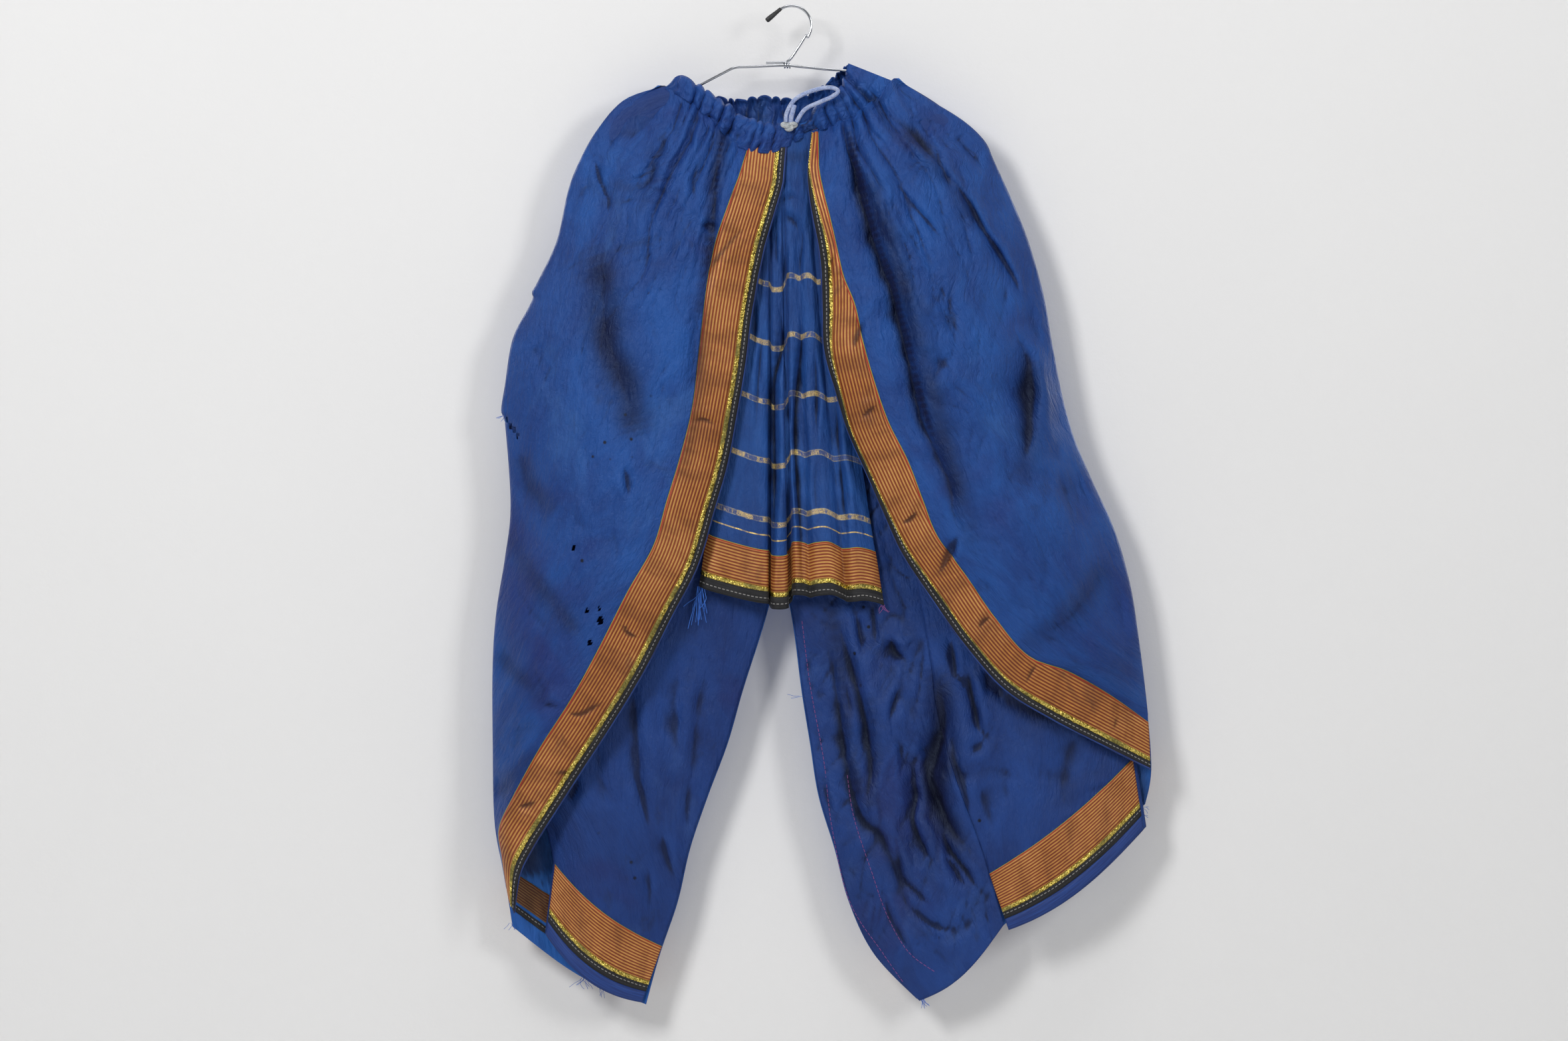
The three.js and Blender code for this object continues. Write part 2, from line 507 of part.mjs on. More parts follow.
const leftFrontSheet = makeSheet(withBorder(legRows(leftFront, {
  outer: leftSeam, inner: leftInseam, side: -1, casing: frontCasing, columns: 7,
  layer: layerStep, outerInset: 3, innerInset: -0.4,
}), 0.2, -0.28));
addCloth('leg_left_front', leftFrontSheet, silkShade);
addLegTrims('leg_left', leftFrontSheet);
addCloth('leg_left_back', makeSheet(legRows(leftBack, {
  outer: leftSeam, inner: leftInseam, side: 1, casing: backCasing, columns: 8,
  layer: 0, outerInset: 0, innerInset: -0.4,
})), silkShade);

const goreY = -16;
const rightFrontSheet = makeSheet(withBorder(legRows(rightFront, {
  outer: rightSeam, inner: goreSeam, side: -1, casing: frontCasing, columns: 7,
  layer: layerStep, outerInset: -0.6, innerInset: 0.6,
}), -0.08, 0.27));
addCloth('leg_right_front', rightFrontSheet, silkShade);
addLegTrims('leg_right', rightFrontSheet);
addCloth('leg_right_gore', makeSheet(legRows(rightGore, {
  outer: goreSeam, inner: rightInseam, side: -1, casing: frontCasing, columns: 6,
  layer: layerStep, outerInset: -0.6, innerInset: 0.4, outerY: goreY,
})), silkShade);
addCloth('leg_right_back', makeSheet(legRows(rightBack, {
  outer: rightSeam, inner: rightInseam, side: 1, casing: backCasing, columns: 8,
  layer: 0, outerInset: 0, innerInset: 0.4,
})), silkShade);

// ---- The pleated fan between the drapes -------------------------------------------

// A row for each fold line, left to right: its place at the waist and at the hem, the
// hem's height there, and how far the fold stands behind (+) or in front (-).
const fanY = -25;
const fanPleats = [
  { waistX: -41, hemX: -93, hemZ: -612, stand: 2 },
  { waistX: -36, hemX: -76, hemZ: -620, stand: -2 },
  { waistX: -30, hemX: -50, hemZ: -629, stand: -4 },
  { waistX: -24, hemX: -30, hemZ: -632, stand: -4 },
  { waistX: -20, hemX: -25, hemZ: -631, stand: 3 },
  { waistX: -15, hemX: -18, hemZ: -636, stand: -3 },
  { waistX: -9, hemX: -4, hemZ: -636, stand: -4 },
  { waistX: -5, hemX: 1, hemZ: -634, stand: 3 },
  { waistX: -1, hemX: 6, hemZ: -622, stand: -3 },
  { waistX: 3, hemX: 11, hemZ: -624, stand: -4 },
  { waistX: 7, hemX: 16, hemZ: -626, stand: 3 },
  { waistX: 11, hemX: 24, hemZ: -624, stand: -4 },
  { waistX: 15, hemX: 42, hemZ: -624, stand: -5 },
  { waistX: 19, hemX: 62, hemZ: -630, stand: -5 },
  { waistX: 23, hemX: 80, hemZ: -628, stand: -2 },
  { waistX: 27, hemX: 97, hemZ: -632, stand: 3 },
];
const fanRows = 7;
const fanBorder = [
  { part: 'band', height: 39, color: copper, metalness: 0 },
  { part: 'gold_line', height: 4.5, color: foil, metalness: 0.8 },
  { part: 'binding', height: 13, color: bindingBlack, metalness: 0 },
];
const fanBorderHeight = fanBorder.reduce((sum, trim) => sum + trim.height, 0);

// A point of a fold line at a height above the hem.
function fanPoint(pleat, above) {
  const waist = underCasing(frontCasing, pleat.waistX);
  const z = pleat.hemZ + above;
  const f = Math.max(0, (waist.z - z) / (waist.z - pleat.hemZ));
  const x = pleat.waistX + (pleat.hemX - pleat.waistX) * f ** 1.15;
  const y = waist.y + (fanY - waist.y) * Math.min(1, 3 * f) + pleat.stand * f;
  return new THREE.Vector3(x, y, z);
}

function fanSheet() {
  const rows = [];
  for (let k = 0; k <= fanRows; k += 1) {
    rows.push(fanPleats.map((pleat) => {
      const cloth = underCasing(frontCasing, pleat.waistX).z - pleat.hemZ - fanBorderHeight;
      return fanPoint(pleat, fanBorderHeight + cloth * (1 - k / fanRows));
    }));
  }
  let above = fanBorderHeight;
  for (const trim of fanBorder) {
    above -= trim.height;
    rows.push(fanPleats.map((pleat) => fanPoint(pleat, above)));
  }
  return makeSheet(rows);
}

const fan = fanSheet();
addCloth('fan', fan, silkBlue);
addTrims('fan', fan, fanBorder.map((trim, k) => (
  { ...trim, first: fanRows + k, last: fanRows + k + 1 })));

// ---- The wire hanger ------------------------------------------------------------------

function tube(path, radius, sides, steps) {
  const section = new THREE.Shape();
  for (let k = 0; k < sides; k += 1) {
    const turn = (2 * Math.PI * k) / sides;
    const [x, y] = [radius * Math.cos(turn), radius * Math.sin(turn)];
    if (k === 0) section.moveTo(x, y);
    else section.lineTo(x, y);
  }
  return new THREE.ExtrudeGeometry(section, { steps, bevelEnabled: false, extrudePath: path });
}

const at = (x, y, z) => new THREE.Vector3(x, y, z);
const smooth = (points) => new THREE.CatmullRomCurve3(points, false, 'centripetal');

const neck = at(-5, 0, -61.5);
const leftElbow = at(-60, 0, -64);
const rightElbow = at(54, 0, -67);
const leftEnd = at(-196, 0, -133);
const rightEnd = at(182, 0, -134);
const wireStep = 2 * wireRadius + seamGap;   // between two wires that lie together

// The hook: a round arc over the origin, a straight shank, and a stub that is turned
// along the top of the left arm.
const hookArc = [];
for (let degrees = 130; degrees >= -35; degrees -= 15) {
  const turn = THREE.MathUtils.degToRad(degrees);
  const height = hookRadius * Math.sin(turn) - hookRadius + wireRadius;
  hookArc.push(at(hookRadius * Math.cos(turn), 0, height));
}
const hookPath = smooth([...hookArc, at(9, 0, -40), at(1, 0, -52), at(-4, 0, neck.z + wireStep + 1),
  at(-9, 0, neck.z + wireStep), at(-27, 0, neck.z + wireStep - 0.4)]);
addMesh('hanger_hook', tube(hookPath, wireRadius, 8, 50), chrome, 0.15, 1);

const wire = (points, steps) => tube(smooth(points), wireRadius, 8, steps);
addMesh('hanger_left_arm', wire([
  at(neck.x - seamGap / 2, 0, neck.z), at(-45, 0, -63), leftElbow, at(-75, 0, -71),
  at(-140, 0, -105), leftEnd], 22), chrome, 0.15, 1);
addMesh('hanger_right_arm', wire([
  at(neck.x + seamGap / 2, 0, neck.z), at(40, 0, -66), rightElbow, at(68, 0, -72),
  at(130, 0, -105), rightEnd], 22), chrome, 0.15, 1);
addMesh('hanger_bar', wire([
  at(leftEnd.x + 1.5, 0, leftEnd.z - wireStep), at(-90, 0, leftEnd.z - 6), at(80, 0, rightEnd.z - 6),
  at(rightEnd.x - 1.5, 0, rightEnd.z - wireStep)], 16), chrome, 0.15, 1);

// The rubber tip on the hook's free end, a short sleeve with a rounded end.
const tipRadius = 2.6;
const tipLength = 17;
const tipProfile = [[0, 0], [tipRadius, 0], [tipRadius, tipLength - 1.5], [1.6, tipLength], [0, tipLength]];
const tip = new THREE.LatheGeometry(tipProfile.map(([r, h]) => new THREE.Vector2(r, h)), 12);
const hookStart = hookArc[0];
const tipLine = hookStart.clone().sub(hookArc[1]).normalize();
tip.applyQuaternion(new THREE.Quaternion().setFromUnitVectors(at(0, 1, 0), tipLine));
tip.translate(hookStart.x + seamGap * tipLine.x, 0, hookStart.z + seamGap * tipLine.z);
addMesh('hanger_tip', tip, rubber, 0.5);

// ---- The drawstring -----------------------------------------------------------------

const knotY = -28.1;
const knotZ = -128;
const knot = new THREE.SphereGeometry(knotLength / 2, 12, 8);
knot.scale(1, 0.38, 0.48);
knot.translate(-1, knotY, knotZ);
addMesh('drawstring_knot', knot, knotGrey);
const loop = smooth([
  at(-6, knotY, -123.8), at(-5, knotY - 1, -114), at(4, knotY - 2, -100), at(22, knotY - 1, -91),
  at(40, knotY + 1, -87.5), at(49, knotY + 2, -91), at(43, knotY + 1, -97), at(30, knotY - 2, -103),
  at(14, knotY - 3, -111), at(5.2, knotY, -123.8)]);
addMesh('drawstring_loop', tube(loop, cordRadius, 8, 40), cordBlue);
const cordEnd = new THREE.LineCurve3(at(-0.6, knotY, -123.2), at(3, knotY + 0.5, -107));
addMesh('drawstring_end', tube(cordEnd, cordRadius, 8, 2), cordBlue);

export default garment;
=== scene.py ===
import math

import bmesh
import bpy
import numpy as np
from mathutils import Matrix, Vector


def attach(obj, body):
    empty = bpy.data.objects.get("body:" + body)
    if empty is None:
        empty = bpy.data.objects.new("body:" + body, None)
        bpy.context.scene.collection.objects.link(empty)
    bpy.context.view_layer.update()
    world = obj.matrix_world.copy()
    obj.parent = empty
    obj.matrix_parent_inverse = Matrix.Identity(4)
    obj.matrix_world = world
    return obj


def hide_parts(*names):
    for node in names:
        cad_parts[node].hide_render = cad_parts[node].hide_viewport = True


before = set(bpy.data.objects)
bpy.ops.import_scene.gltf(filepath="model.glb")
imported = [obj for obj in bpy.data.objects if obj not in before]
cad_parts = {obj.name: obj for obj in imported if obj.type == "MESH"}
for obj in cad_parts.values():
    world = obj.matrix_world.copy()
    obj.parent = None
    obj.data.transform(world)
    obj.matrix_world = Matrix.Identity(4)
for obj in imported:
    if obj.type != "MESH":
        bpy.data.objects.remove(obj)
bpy.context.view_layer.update()        # the garment's frame: bodies, nodes and record
mm = 0.001               # the tables below are in millimetres, the scene in metres


# ---- camera ----

view = {"frameWidth": 1.653, "distance": 5.0, "aimX": -0.008, "aimZ": -0.5435, "sensor": 36.0}


def linked(name, data):                      # a new object in the scene
    piece = bpy.data.objects.new(name, data)
    bpy.context.scene.collection.objects.link(piece)
    return piece


def addCamera():
    data = bpy.data.cameras.new("camera")
    data.sensor_width = view["sensor"]
    data.lens = view["sensor"] * view["distance"] / view["frameWidth"]
    data.clip_end = 50
    camera = linked("camera", data)
    camera.location = (view["aimX"], -view["distance"] - 0.02, view["aimZ"])
    camera.rotation_euler = (math.radians(90), 0, 0)
    bpy.context.scene.camera = camera


addCamera()
bpy.context.scene.view_settings.view_transform = "Standard"


# ---- reading the tables ----

def smoothAt(values, t):                     # a column at t, 0 to 1, on a Catmull-Rom curve
    p = np.array(values, float)
    last = len(p) - 1
    u = np.clip(t, 0, 1) * last
    k = np.minimum(u.astype(int), last - 1)
    f = u - k
    p0, p1, p2, p3 = p[np.maximum(k - 1, 0)], p[k], p[k + 1], p[np.minimum(k + 2, last)]
    return p1 + 0.5 * f * (p2 - p0 + f * (2 * p0 - 5 * p1 + 4 * p2 - p3 + f * (3 * (p1 - p2) + p3 - p0)))


def smoothLine(points, steps):               # a given line made smooth
    t = np.linspace(0, 1, steps)
    return np.stack([smoothAt([p[n] for p in points], t) for n in range(len(points[0]))], -1)


class Seam:                                  # x at a height on an outline line
    def __init__(self, points):
        fine = smoothLine(points, 8 * len(points))
        order = np.argsort(-fine[:, 1])
        self.down, self.x = -fine[order, 1], fine[order, 0]

    def at(self, z):
        return np.interp(-z, self.down, self.x)

    def soft(self, z):                       # the same line without its nicks
        return sum(self.at(z + step) for step in (-36, -24, -12, 0, 12, 24, 36)) / 7


# outline lines, (x, z) from the waist down, and the plain sizes that many pieces share
waistLine = -146                             # folds that start above it start at the casing
layerGap = 2.2                               # between a drape and the leg under it
trimWall = 0.5                               # how thick a border's strips are
leftSeam = Seam([(-134, -86), (-178, -100), (-206, -131), (-224, -163), (-236, -194), (-248, -247),
                 (-268, -290), (-274.5, -302), (-273, -307), (-279, -320), (-295, -352), (-303, -400),
                 (-307, -428), (-303, -440), (-297, -527), (-303, -583), (-312, -639), (-316, -695),
                 (-316, -779), (-314, -863), (-304, -919), (-295, -976)])
rightSeam = Seam([(108, -79), (148, -100), (182, -121), (204, -142), (214, -163), (233, -205), (250, -247),
                  (266, -303), (276, -359), (287, -415), (299, -457), (317, -499), (342, -555), (358, -611),
                  (367, -667), (376, -740), (381, -807), (374, -846)])
leftInseam = Seam([(-30, -150), (-22, -400), (-17, -590), (-20, -612), (-25, -636), (-34, -667),
                   (-52, -723), (-68, -779), (-89, -835), (-108, -891), (-121, -947), (-140, -1003),
                   (-155, -1057)])
rightInseam = Seam([(-29.4, -150), (-21.4, -400), (-16, -590), (-9, -610), (-2, -632), (4, -667),
                    (11, -723), (20, -779), (29, -835), (46, -891), (61, -947), (88, -1003),
                    (136, -1053)])
goreSeam = Seam([(41, -128), (58, -240), (76, -345), (97, -450), (119, -541), (135, -625), (147, -695),
                 (153, -742), (172, -813), (202, -895), (222, -970)])


def seamDepth(z):                            # y of the side seams
    return 2 - 3 * np.clip((z + 1000) / 700, 0, 1)


# ---- folds and creases ----

def latticeNoise(x, y, seed):                # smooth noise, about -1 to 1
    turn = np.random.default_rng(seed).uniform(0, 2 * math.pi, (64, 64))
    i, j = np.floor(x).astype(int), np.floor(y).astype(int)
    fx, fy = x - i, y - j

    def corner(di, dj):
        angle = turn[(i + di) % 64, (j + dj) % 64]
        return np.cos(angle) * (fx - di) + np.sin(angle) * (fy - dj)

    sx, sy = fx * fx * (3 - 2 * fx), fy * fy * (3 - 2 * fy)
    top = corner(0, 0) + sx * (corner(1, 0) - corner(0, 0))
    low = corner(0, 1) + sx * (corner(1, 1) - corner(0, 1))
    return 1.5 * (top + sy * (low - top))


def eased(t):
    t = np.clip(t, 0, 1)
    return t * t * (3 - 2 * t)


def foldField(x, z, folds, seed=3):          # how far points go back and sideways, mm, and how much painted shade lies in each fold's trough
    push, slide, foldShade = np.zeros_like(x), np.zeros_like(x), np.zeros_like(x)
    for n, (width, depth, tuck, line) in enumerate(folds):
        path = smoothLine(line, 6 * len(line))
        reach = 5 * width
        low, high = path.min(0) - reach, path.max(0) + reach
        inside = (x > low[0]) & (x < high[0]) & (z > low[1]) & (z < high[1])
        if not inside.any():
            continue
        px, pz = x[inside], z[inside]
        best, side, along = np.full(px.shape, 1e9), np.zeros_like(px), np.zeros_like(px)
        steps = np.hypot(*np.diff(path, axis=0).T)
        total = steps.sum()
        walked = 0.0
        for a, b, step in zip(path[:-1], path[1:], steps):
            d = b - a
            f = np.clip(((px - a[0]) * d[0] + (pz - a[1]) * d[1]) / max(step * step, 1e-9), 0, 1)
            gap = np.hypot(px - a[0] - f * d[0], pz - a[1] - f * d[1])
            near = gap < best
            best = np.where(near, gap, best)
            side = np.where(near, np.sign(d[0] * (pz - a[1]) - d[1] * (px - a[0])), side)
            along = np.where(near, (walked + f * step) / total, along)
            walked += step
        wander = 0.8 + 0.3 * latticeNoise(along * total / 28 + 5 * n, along * 0 + n, seed)
        start = 14 if line[0][1] > waistLine else 2.6         # a fold from the casing starts at full depth
        ends = eased(start * along) * eased(2.2 * (1 - along))
        fade = ends * wander
        steep = 1 if (n % 3 != 1) else -1    # one flank of a fold is steep, the other swells
        over = side * steep > 0
        broad = width * (0.5 + 0.6 * fade)
        groove = np.exp(-(best / (np.where(over, 0.7, 2.1) * broad)) ** 1.7)
        swell = np.where(over, np.exp(-((best - 1.9 * broad) / (1.6 * broad)) ** 2), 0)
        push[inside] += depth * fade * (groove - 0.42 * swell)
        # painted shade: darkest at the trough of deep, narrow folds
        bottom = np.exp(-(best / (np.where(over, 0.36, 1.15) * broad)) ** 2)
        dark = np.clip(depth / 12, 0, 1) ** 1.3 * np.clip(1.1 * depth / width - 0.25, 0, 1)
        foldShade[inside] = np.maximum(foldShade[inside], dark * ends * (0.45 + 0.6 * wander) * bottom)
        if tuck:
            slide[inside] += tuck * fade * np.exp(-(best / (1.5 * width)) ** 2) * np.where(side > 0, 1, 0.35)
    return push, slide, foldShade


def shadeField(x, z, shades):                # 0 to 1, painted shade where a wide fold keeps the cloth dark
    total = np.zeros_like(x)
    for width, strength, line in shades:
        path = smoothLine(line, 5 * len(line))
        low, high = path.min(0) - 3 * width, path.max(0) + 3 * width
        inside = (x > low[0]) & (x < high[0]) & (z > low[1]) & (z < high[1])
        gaps = np.hypot(x[inside][:, None] - path[None, :, 0], z[inside][:, None] - path[None, :, 1])
        if not gaps.size:
            continue
        along = gaps.argmin(1) / (len(path) - 1)
        ragged = 0.9 + 0.3 * latticeNoise(x[inside] / 30, z[inside] / 40, 91)
        ends = eased(5 * along + 0.15) * eased(5 * (1 - along) + 0.15)
        soft = np.exp(-(gaps.min(1) / width) ** 2)
        total[inside] = np.maximum(total[inside], strength * ends * ragged * soft)
    return np.clip(total, 0, 1)


def creaseField(a, b, size, turn, seed):     # narrow uneven creases, 0 to 1, longer along the turned b
    c, s = math.cos(math.radians(turn)), math.sin(math.radians(turn))
    x, y = (a * c + b * s) / size, (b * c - a * s) / (3.2 * size)
    warp = latticeNoise(0.7 * x + 9, 0.7 * y, seed + 7)
    line = np.abs(latticeNoise(x + 0.8 * warp, y + 0.5 * warp, seed))
    ridge = np.exp(-(line / 0.16) ** 1.4)
    where = eased(1.6 * latticeNoise(0.33 * x, 0.6 * y, seed + 3) + 0.45)
    return ridge * where


def crumple(u, v, turn, seed, crushed):      # worn silk's unevenness, mm back, and its creases alone
    fine = 0.55 * creaseField(u, v, 30, turn, seed) + 0.3 * creaseField(u, v, 15, turn + 25, seed + 20)
    crush = 1.5 * creaseField(u, v, 26, turn, seed + 30) + 1.0 * creaseField(u, v, 17, turn - 32, seed + 40)
    crush += 0.6 * creaseField(u, v, 10, turn + 48, seed + 50)
    slow = 2.2 * latticeNoise(u / 60, v / 110, seed + 60) + 0.7 * latticeNoise(u / 24, v / 45, seed + 61)
    return slow + fine + crushed * crush, fine / 2 + crushed * crush / 2.2


# ---- meshes ----

def gridNormals(points, outward):
    across = np.gradient(points, axis=1)
    down = np.gradient(points, axis=0)
    normals = np.cross(across, down)
    normals /= np.maximum(np.linalg.norm(normals, axis=2, keepdims=True), 1e-9)
    return normals if normals[..., 1].mean() * outward > 0 else -normals


def walkedLengths(points):                   # flat lengths across and down the sheet, mm
    across = np.linalg.norm(np.diff(points, axis=1), axis=2)
    down = np.linalg.norm(np.diff(points, axis=0), axis=2)
    u = np.concatenate([np.zeros((len(points), 1)), across.cumsum(1)], 1)
    v = np.concatenate([np.zeros((1, points.shape[1])), down.cumsum(0)], 0)
    return u, np.broadcast_to(v.mean(1, keepdims=True), u.shape)


def hollows(points, outward):                # how far each point lies behind its neighbours, -1 to 1
    normals = gridNormals(points, outward)
    total = np.zeros(points.shape[:2])
    for step, scale in ((2, 1.5), (4, 4.0), (8, 10.0)):
        padded = np.pad(points, ((step, step), (step, step), (0, 0)), mode="edge")
        around = (padded[2 * step:, step:-step] + padded[:-2 * step, step:-step]
                  + padded[step:-step, 2 * step:] + padded[step:-step, :-2 * step]) / 4
        total += np.clip(((around - points) * normals).sum(2) / scale, -1, 1)
    return total / 3


def clothPiece(name, points, outward, materials, wall=0.7, uv=None, extra=None, holes=()):
    rows, columns = points.shape[:2]
    bm = bmesh.new()
    bmesh.ops.create_grid(bm, x_segments=columns - 1, y_segments=rows - 1, size=1)
    bm.verts.ensure_lookup_table()
    for vert, p in zip(bm.verts, points.reshape(-1, 3) * mm):
        vert.co = p
    bm.normal_update()
    if sum(f.normal.y for f in bm.faces) * outward < 0:
        bmesh.ops.reverse_faces(bm, faces=bm.faces[:])
    mesh = bpy.data.meshes.new(name)
    for face in bm.faces:
        face.smooth = True
    bm.to_mesh(mesh)
    bm.free()
    uv = walkedLengths(points) if uv is None else uv
    flat = np.stack([uv[0].ravel(), uv[1].ravel()], -1) * mm
    corners = np.zeros(len(mesh.loops), int)
    mesh.loops.foreach_get("vertex_index", corners)
    mesh.uv_layers.new(name="flat").data.foreach_set("uv", flat[corners].astype(np.float32).ravel())
    fields = {"hollow": hollows(points, outward), **(extra or {})}
    for key, values in fields.items():
        layer = mesh.attributes.new(key, "FLOAT", "POINT")
        layer.data.foreach_set("value", np.ascontiguousarray(values, dtype=np.float32).ravel())
    if len(holes):
        cutHoles(mesh, holes)
    piece = linked(name, mesh)
    for material in materials:
        mesh.materials.append(material)
    shell = piece.modifiers.new("wall", "SOLIDIFY")
    shell.thickness = wall * mm
    shell.offset = 0
    if len(materials) > 1:
        shell.material_offset = 1            # the inner face
    return piece


def cutHoles(mesh, holes):                   # small worn holes, (x, z, radius)
    bm = bmesh.new()
    bm.from_mesh(mesh)
    gone = []
    for face in bm.faces:
        c = face.calc_center_median() / mm
        if any((c.x - x) ** 2 + 0.5 * (c.z - z) ** 2 < r * r for x, z, r in holes):
            gone.append(face)
    bmesh.ops.delete(bm, geom=gone, context="FACES")
    bm.to_mesh(mesh)
    bm.free()


def stand(piece, slot, *nodes):              # the piece rides on the garment, mostly in place of a node
    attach(piece, "root")
    if nodes:
        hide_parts(*nodes)


def gridAt(grid, row, column):               # a sheet's value between its own points
    i = np.clip(np.floor(row).astype(int), 0, grid.shape[0] - 2)
    j = np.clip(np.floor(column).astype(int), 0, grid.shape[1] - 2)
    f, g = (row - i)[..., None], (column - j)[..., None]
    return ((grid[i, j] * (1 - g) + grid[i, j + 1] * g) * (1 - f)
            + (grid[i + 1, j] * (1 - g) + grid[i + 1, j + 1] * g) * f)


# ---- materials ----

class Nodes:                                 # short ways to add and join nodes
    def __init__(self, tree):
        self.tree = tree

    def add(self, kind, **values):
        node = self.tree.nodes.new(kind)
        for key, value in values.items():
            setattr(node, key, value)
        return node

    def feed(self, socket, value):
        if isinstance(value, bpy.types.NodeSocket):
            self.tree.links.new(value, socket)
        else:
            socket.default_value = value

    def fill(self, node, values):            # the inputs by name or number; gives back the outputs
        for key, value in values.items():
            self.feed(node.inputs[key], value)
        return node.outputs

    def math(self, operation, a, b=0.0, clamp=False):
        return self.fill(self.add("ShaderNodeMath", operation=operation, use_clamp=clamp), {0: a, 1: b})[0]

    def times(self, a, b, clamp=False):
        return self.math("MULTIPLY", a, b, clamp)

    def plus(self, a, b):
        return self.math("ADD", a, b)

    def minus(self, a, b):
        return self.math("SUBTRACT", a, b)

    def mix(self, factor, a, b, blend="MIX"):
        node = self.add("ShaderNodeMix", data_type="RGBA", blend_type=blend)
        return self.fill(node, {0: factor, 6: a, 7: b})[2]

    def layers(self, colour, coats):         # coats of (amount, screen colour) one over the other
        for amount, coat in coats:
            colour = self.mix(amount, colour, rgb(*coat))
        return colour

    def remap(self, value, low, high, to=(0.0, 1.0)):
        node = self.add("ShaderNodeMapRange", interpolation_type="SMOOTHSTEP")
        return self.fill(node, dict(enumerate((value, low, high, *to))))[0]

    def mapped(self, vector, scale, turn=0.0):
        node = self.add("ShaderNodeMapping")
        turned = (0, 0, math.radians(turn))
        return self.fill(node, {"Vector": vector, "Scale": scale, "Rotation": turned})[0]

    def noise(self, vector, scale, detail, rough, warp=0.0, kind="FBM"):
        node = self.add("ShaderNodeTexNoise", noise_type=kind)
        self.fill(node, {"Vector": vector, "Scale": scale, "Detail": detail})
        return self.fill(node, {"Roughness": rough, "Distortion": warp})[0]

    def grain(self, vector, scale, detail, rough, warp=0.0, turn=0.0, kind="FBM"):   # stretched noise
        return self.noise(self.mapped(vector, scale, turn), 1.0, detail, rough, warp, kind)

    def cells(self, vector, scale):
        node = self.add("ShaderNodeTexVoronoi", feature="F1")
        return self.fill(node, {"Vector": vector, "Scale": scale})["Distance"]

    def bump(self, height, distance, strength):
        node = self.add("ShaderNodeBump")
        return self.fill(node, {"Strength": strength, "Distance": distance, "Height": height})[0]

    def group(self, tree, **values):
        return self.fill(self.add("ShaderNodeGroup", node_tree=tree), values)

    def split(self, vector):
        return self.fill(self.add("ShaderNodeSeparateXYZ"), {0: vector})

    def field(self, name):                   # a value that the mesh keeps at its points
        return self.add("ShaderNodeAttribute", attribute_name=name).outputs["Fac"]

    def flat(self):                          # metres along the cut cloth
        return self.add("ShaderNodeUVMap", uv_map="flat").outputs[0]

    def place(self):                         # metres in the garment's frame
        return self.add("ShaderNodeTexCoord").outputs["Object"]

    def shader(self, values=()):
        node = self.tree.nodes["Principled BSDF"]
        self.fill(node, dict(values))
        return node


def rgb(r, g, b):                            # screen values 0 to 255 to linear colour
    def linear(c):
        c /= 255
        return c / 12.92 if c <= 0.04045 else ((c + 0.055) / 1.055) ** 2.4
    return (linear(r), linear(g), linear(b), 1.0)


def scaled(colour, share):
    return [share * c for c in colour]


def newGroup(name, setting, value, outputs):
    group = bpy.data.node_groups.new(name, "ShaderNodeTree")
    group.interface.new_socket("Vector", in_out="INPUT", socket_type="NodeSocketVector")
    group.interface.new_socket(setting, in_out="INPUT", socket_type="NodeSocketFloat").default_value = value
    for key in outputs:
        group.interface.new_socket(key, in_out="OUTPUT", socket_type="NodeSocketFloat")
    return Nodes(group), group.nodes.new("NodeGroupInput").outputs, group.nodes.new("NodeGroupOutput")


def makeWeave():                             # threads, slubs and fine creases of a woven cloth
    n, given, out = newGroup("weave", "Crease", 1.0, ("Height", "Slub", "Line"))
    flat = given["Vector"]
    warp = n.grain(flat, (2200, 90, 1), 2, 0.5)
    weft = n.grain(flat, (70, 2200, 1), 2, 0.5)
    slub = n.grain(flat, (620, 22, 1), 4, 0.6)
    creased = n.grain(flat, (85, 26, 1), 4, 0.55, 0.9, 18, "RIDGED_MULTIFRACTAL")
    fine = n.grain(flat, (210, 110, 1), 3, 0.6, 0.6, -25)
    crinkled = n.grain(flat, (240, 70, 1), 3, 0.55, 1.2, -12, "RIDGED_MULTIFRACTAL")
    threads = n.plus(n.times(warp, 0.10), n.times(weft, 0.10))
    folds = n.plus(n.times(creased, -0.5), n.times(fine, 0.5))
    folds = n.times(n.plus(folds, n.times(crinkled, -0.16)), given["Crease"])
    height = n.plus(n.plus(threads, n.times(slub, 0.22)), folds)
    n.fill(out, {"Height": height, "Slub": slub, "Line": creased})
    return n.tree


def makeWear():                              # patches of fading, soil and specks
    n, given, out = newGroup("wear", "Soil", 0.5, ("Fade", "Dirt", "Speck"))
    place = given["Vector"]
    fade = n.remap(n.noise(place, 9, 5, 0.62, 0.3), 0.36, 0.66)
    dirt = n.remap(n.noise(n.mapped(place, (1, 1, 0.8)), 17, 5, 0.68, 0.5), 0.60, 0.74)
    rare = n.remap(n.noise(place, 7, 2, 0.5), 0.60, 0.66)
    dot = n.remap(n.cells(place, 42), 0.11, 0.05)
    n.fill(out, {"Fade": fade, "Dirt": n.times(dirt, given["Soil"]), "Speck": n.times(dot, rare)})
    return n.tree


weaveGroup = makeWeave()
wearGroup = makeWear()


def newMaterial(name):
    material = bpy.data.materials.new(name)
    material.use_nodes = True
    return material, Nodes(material.node_tree)


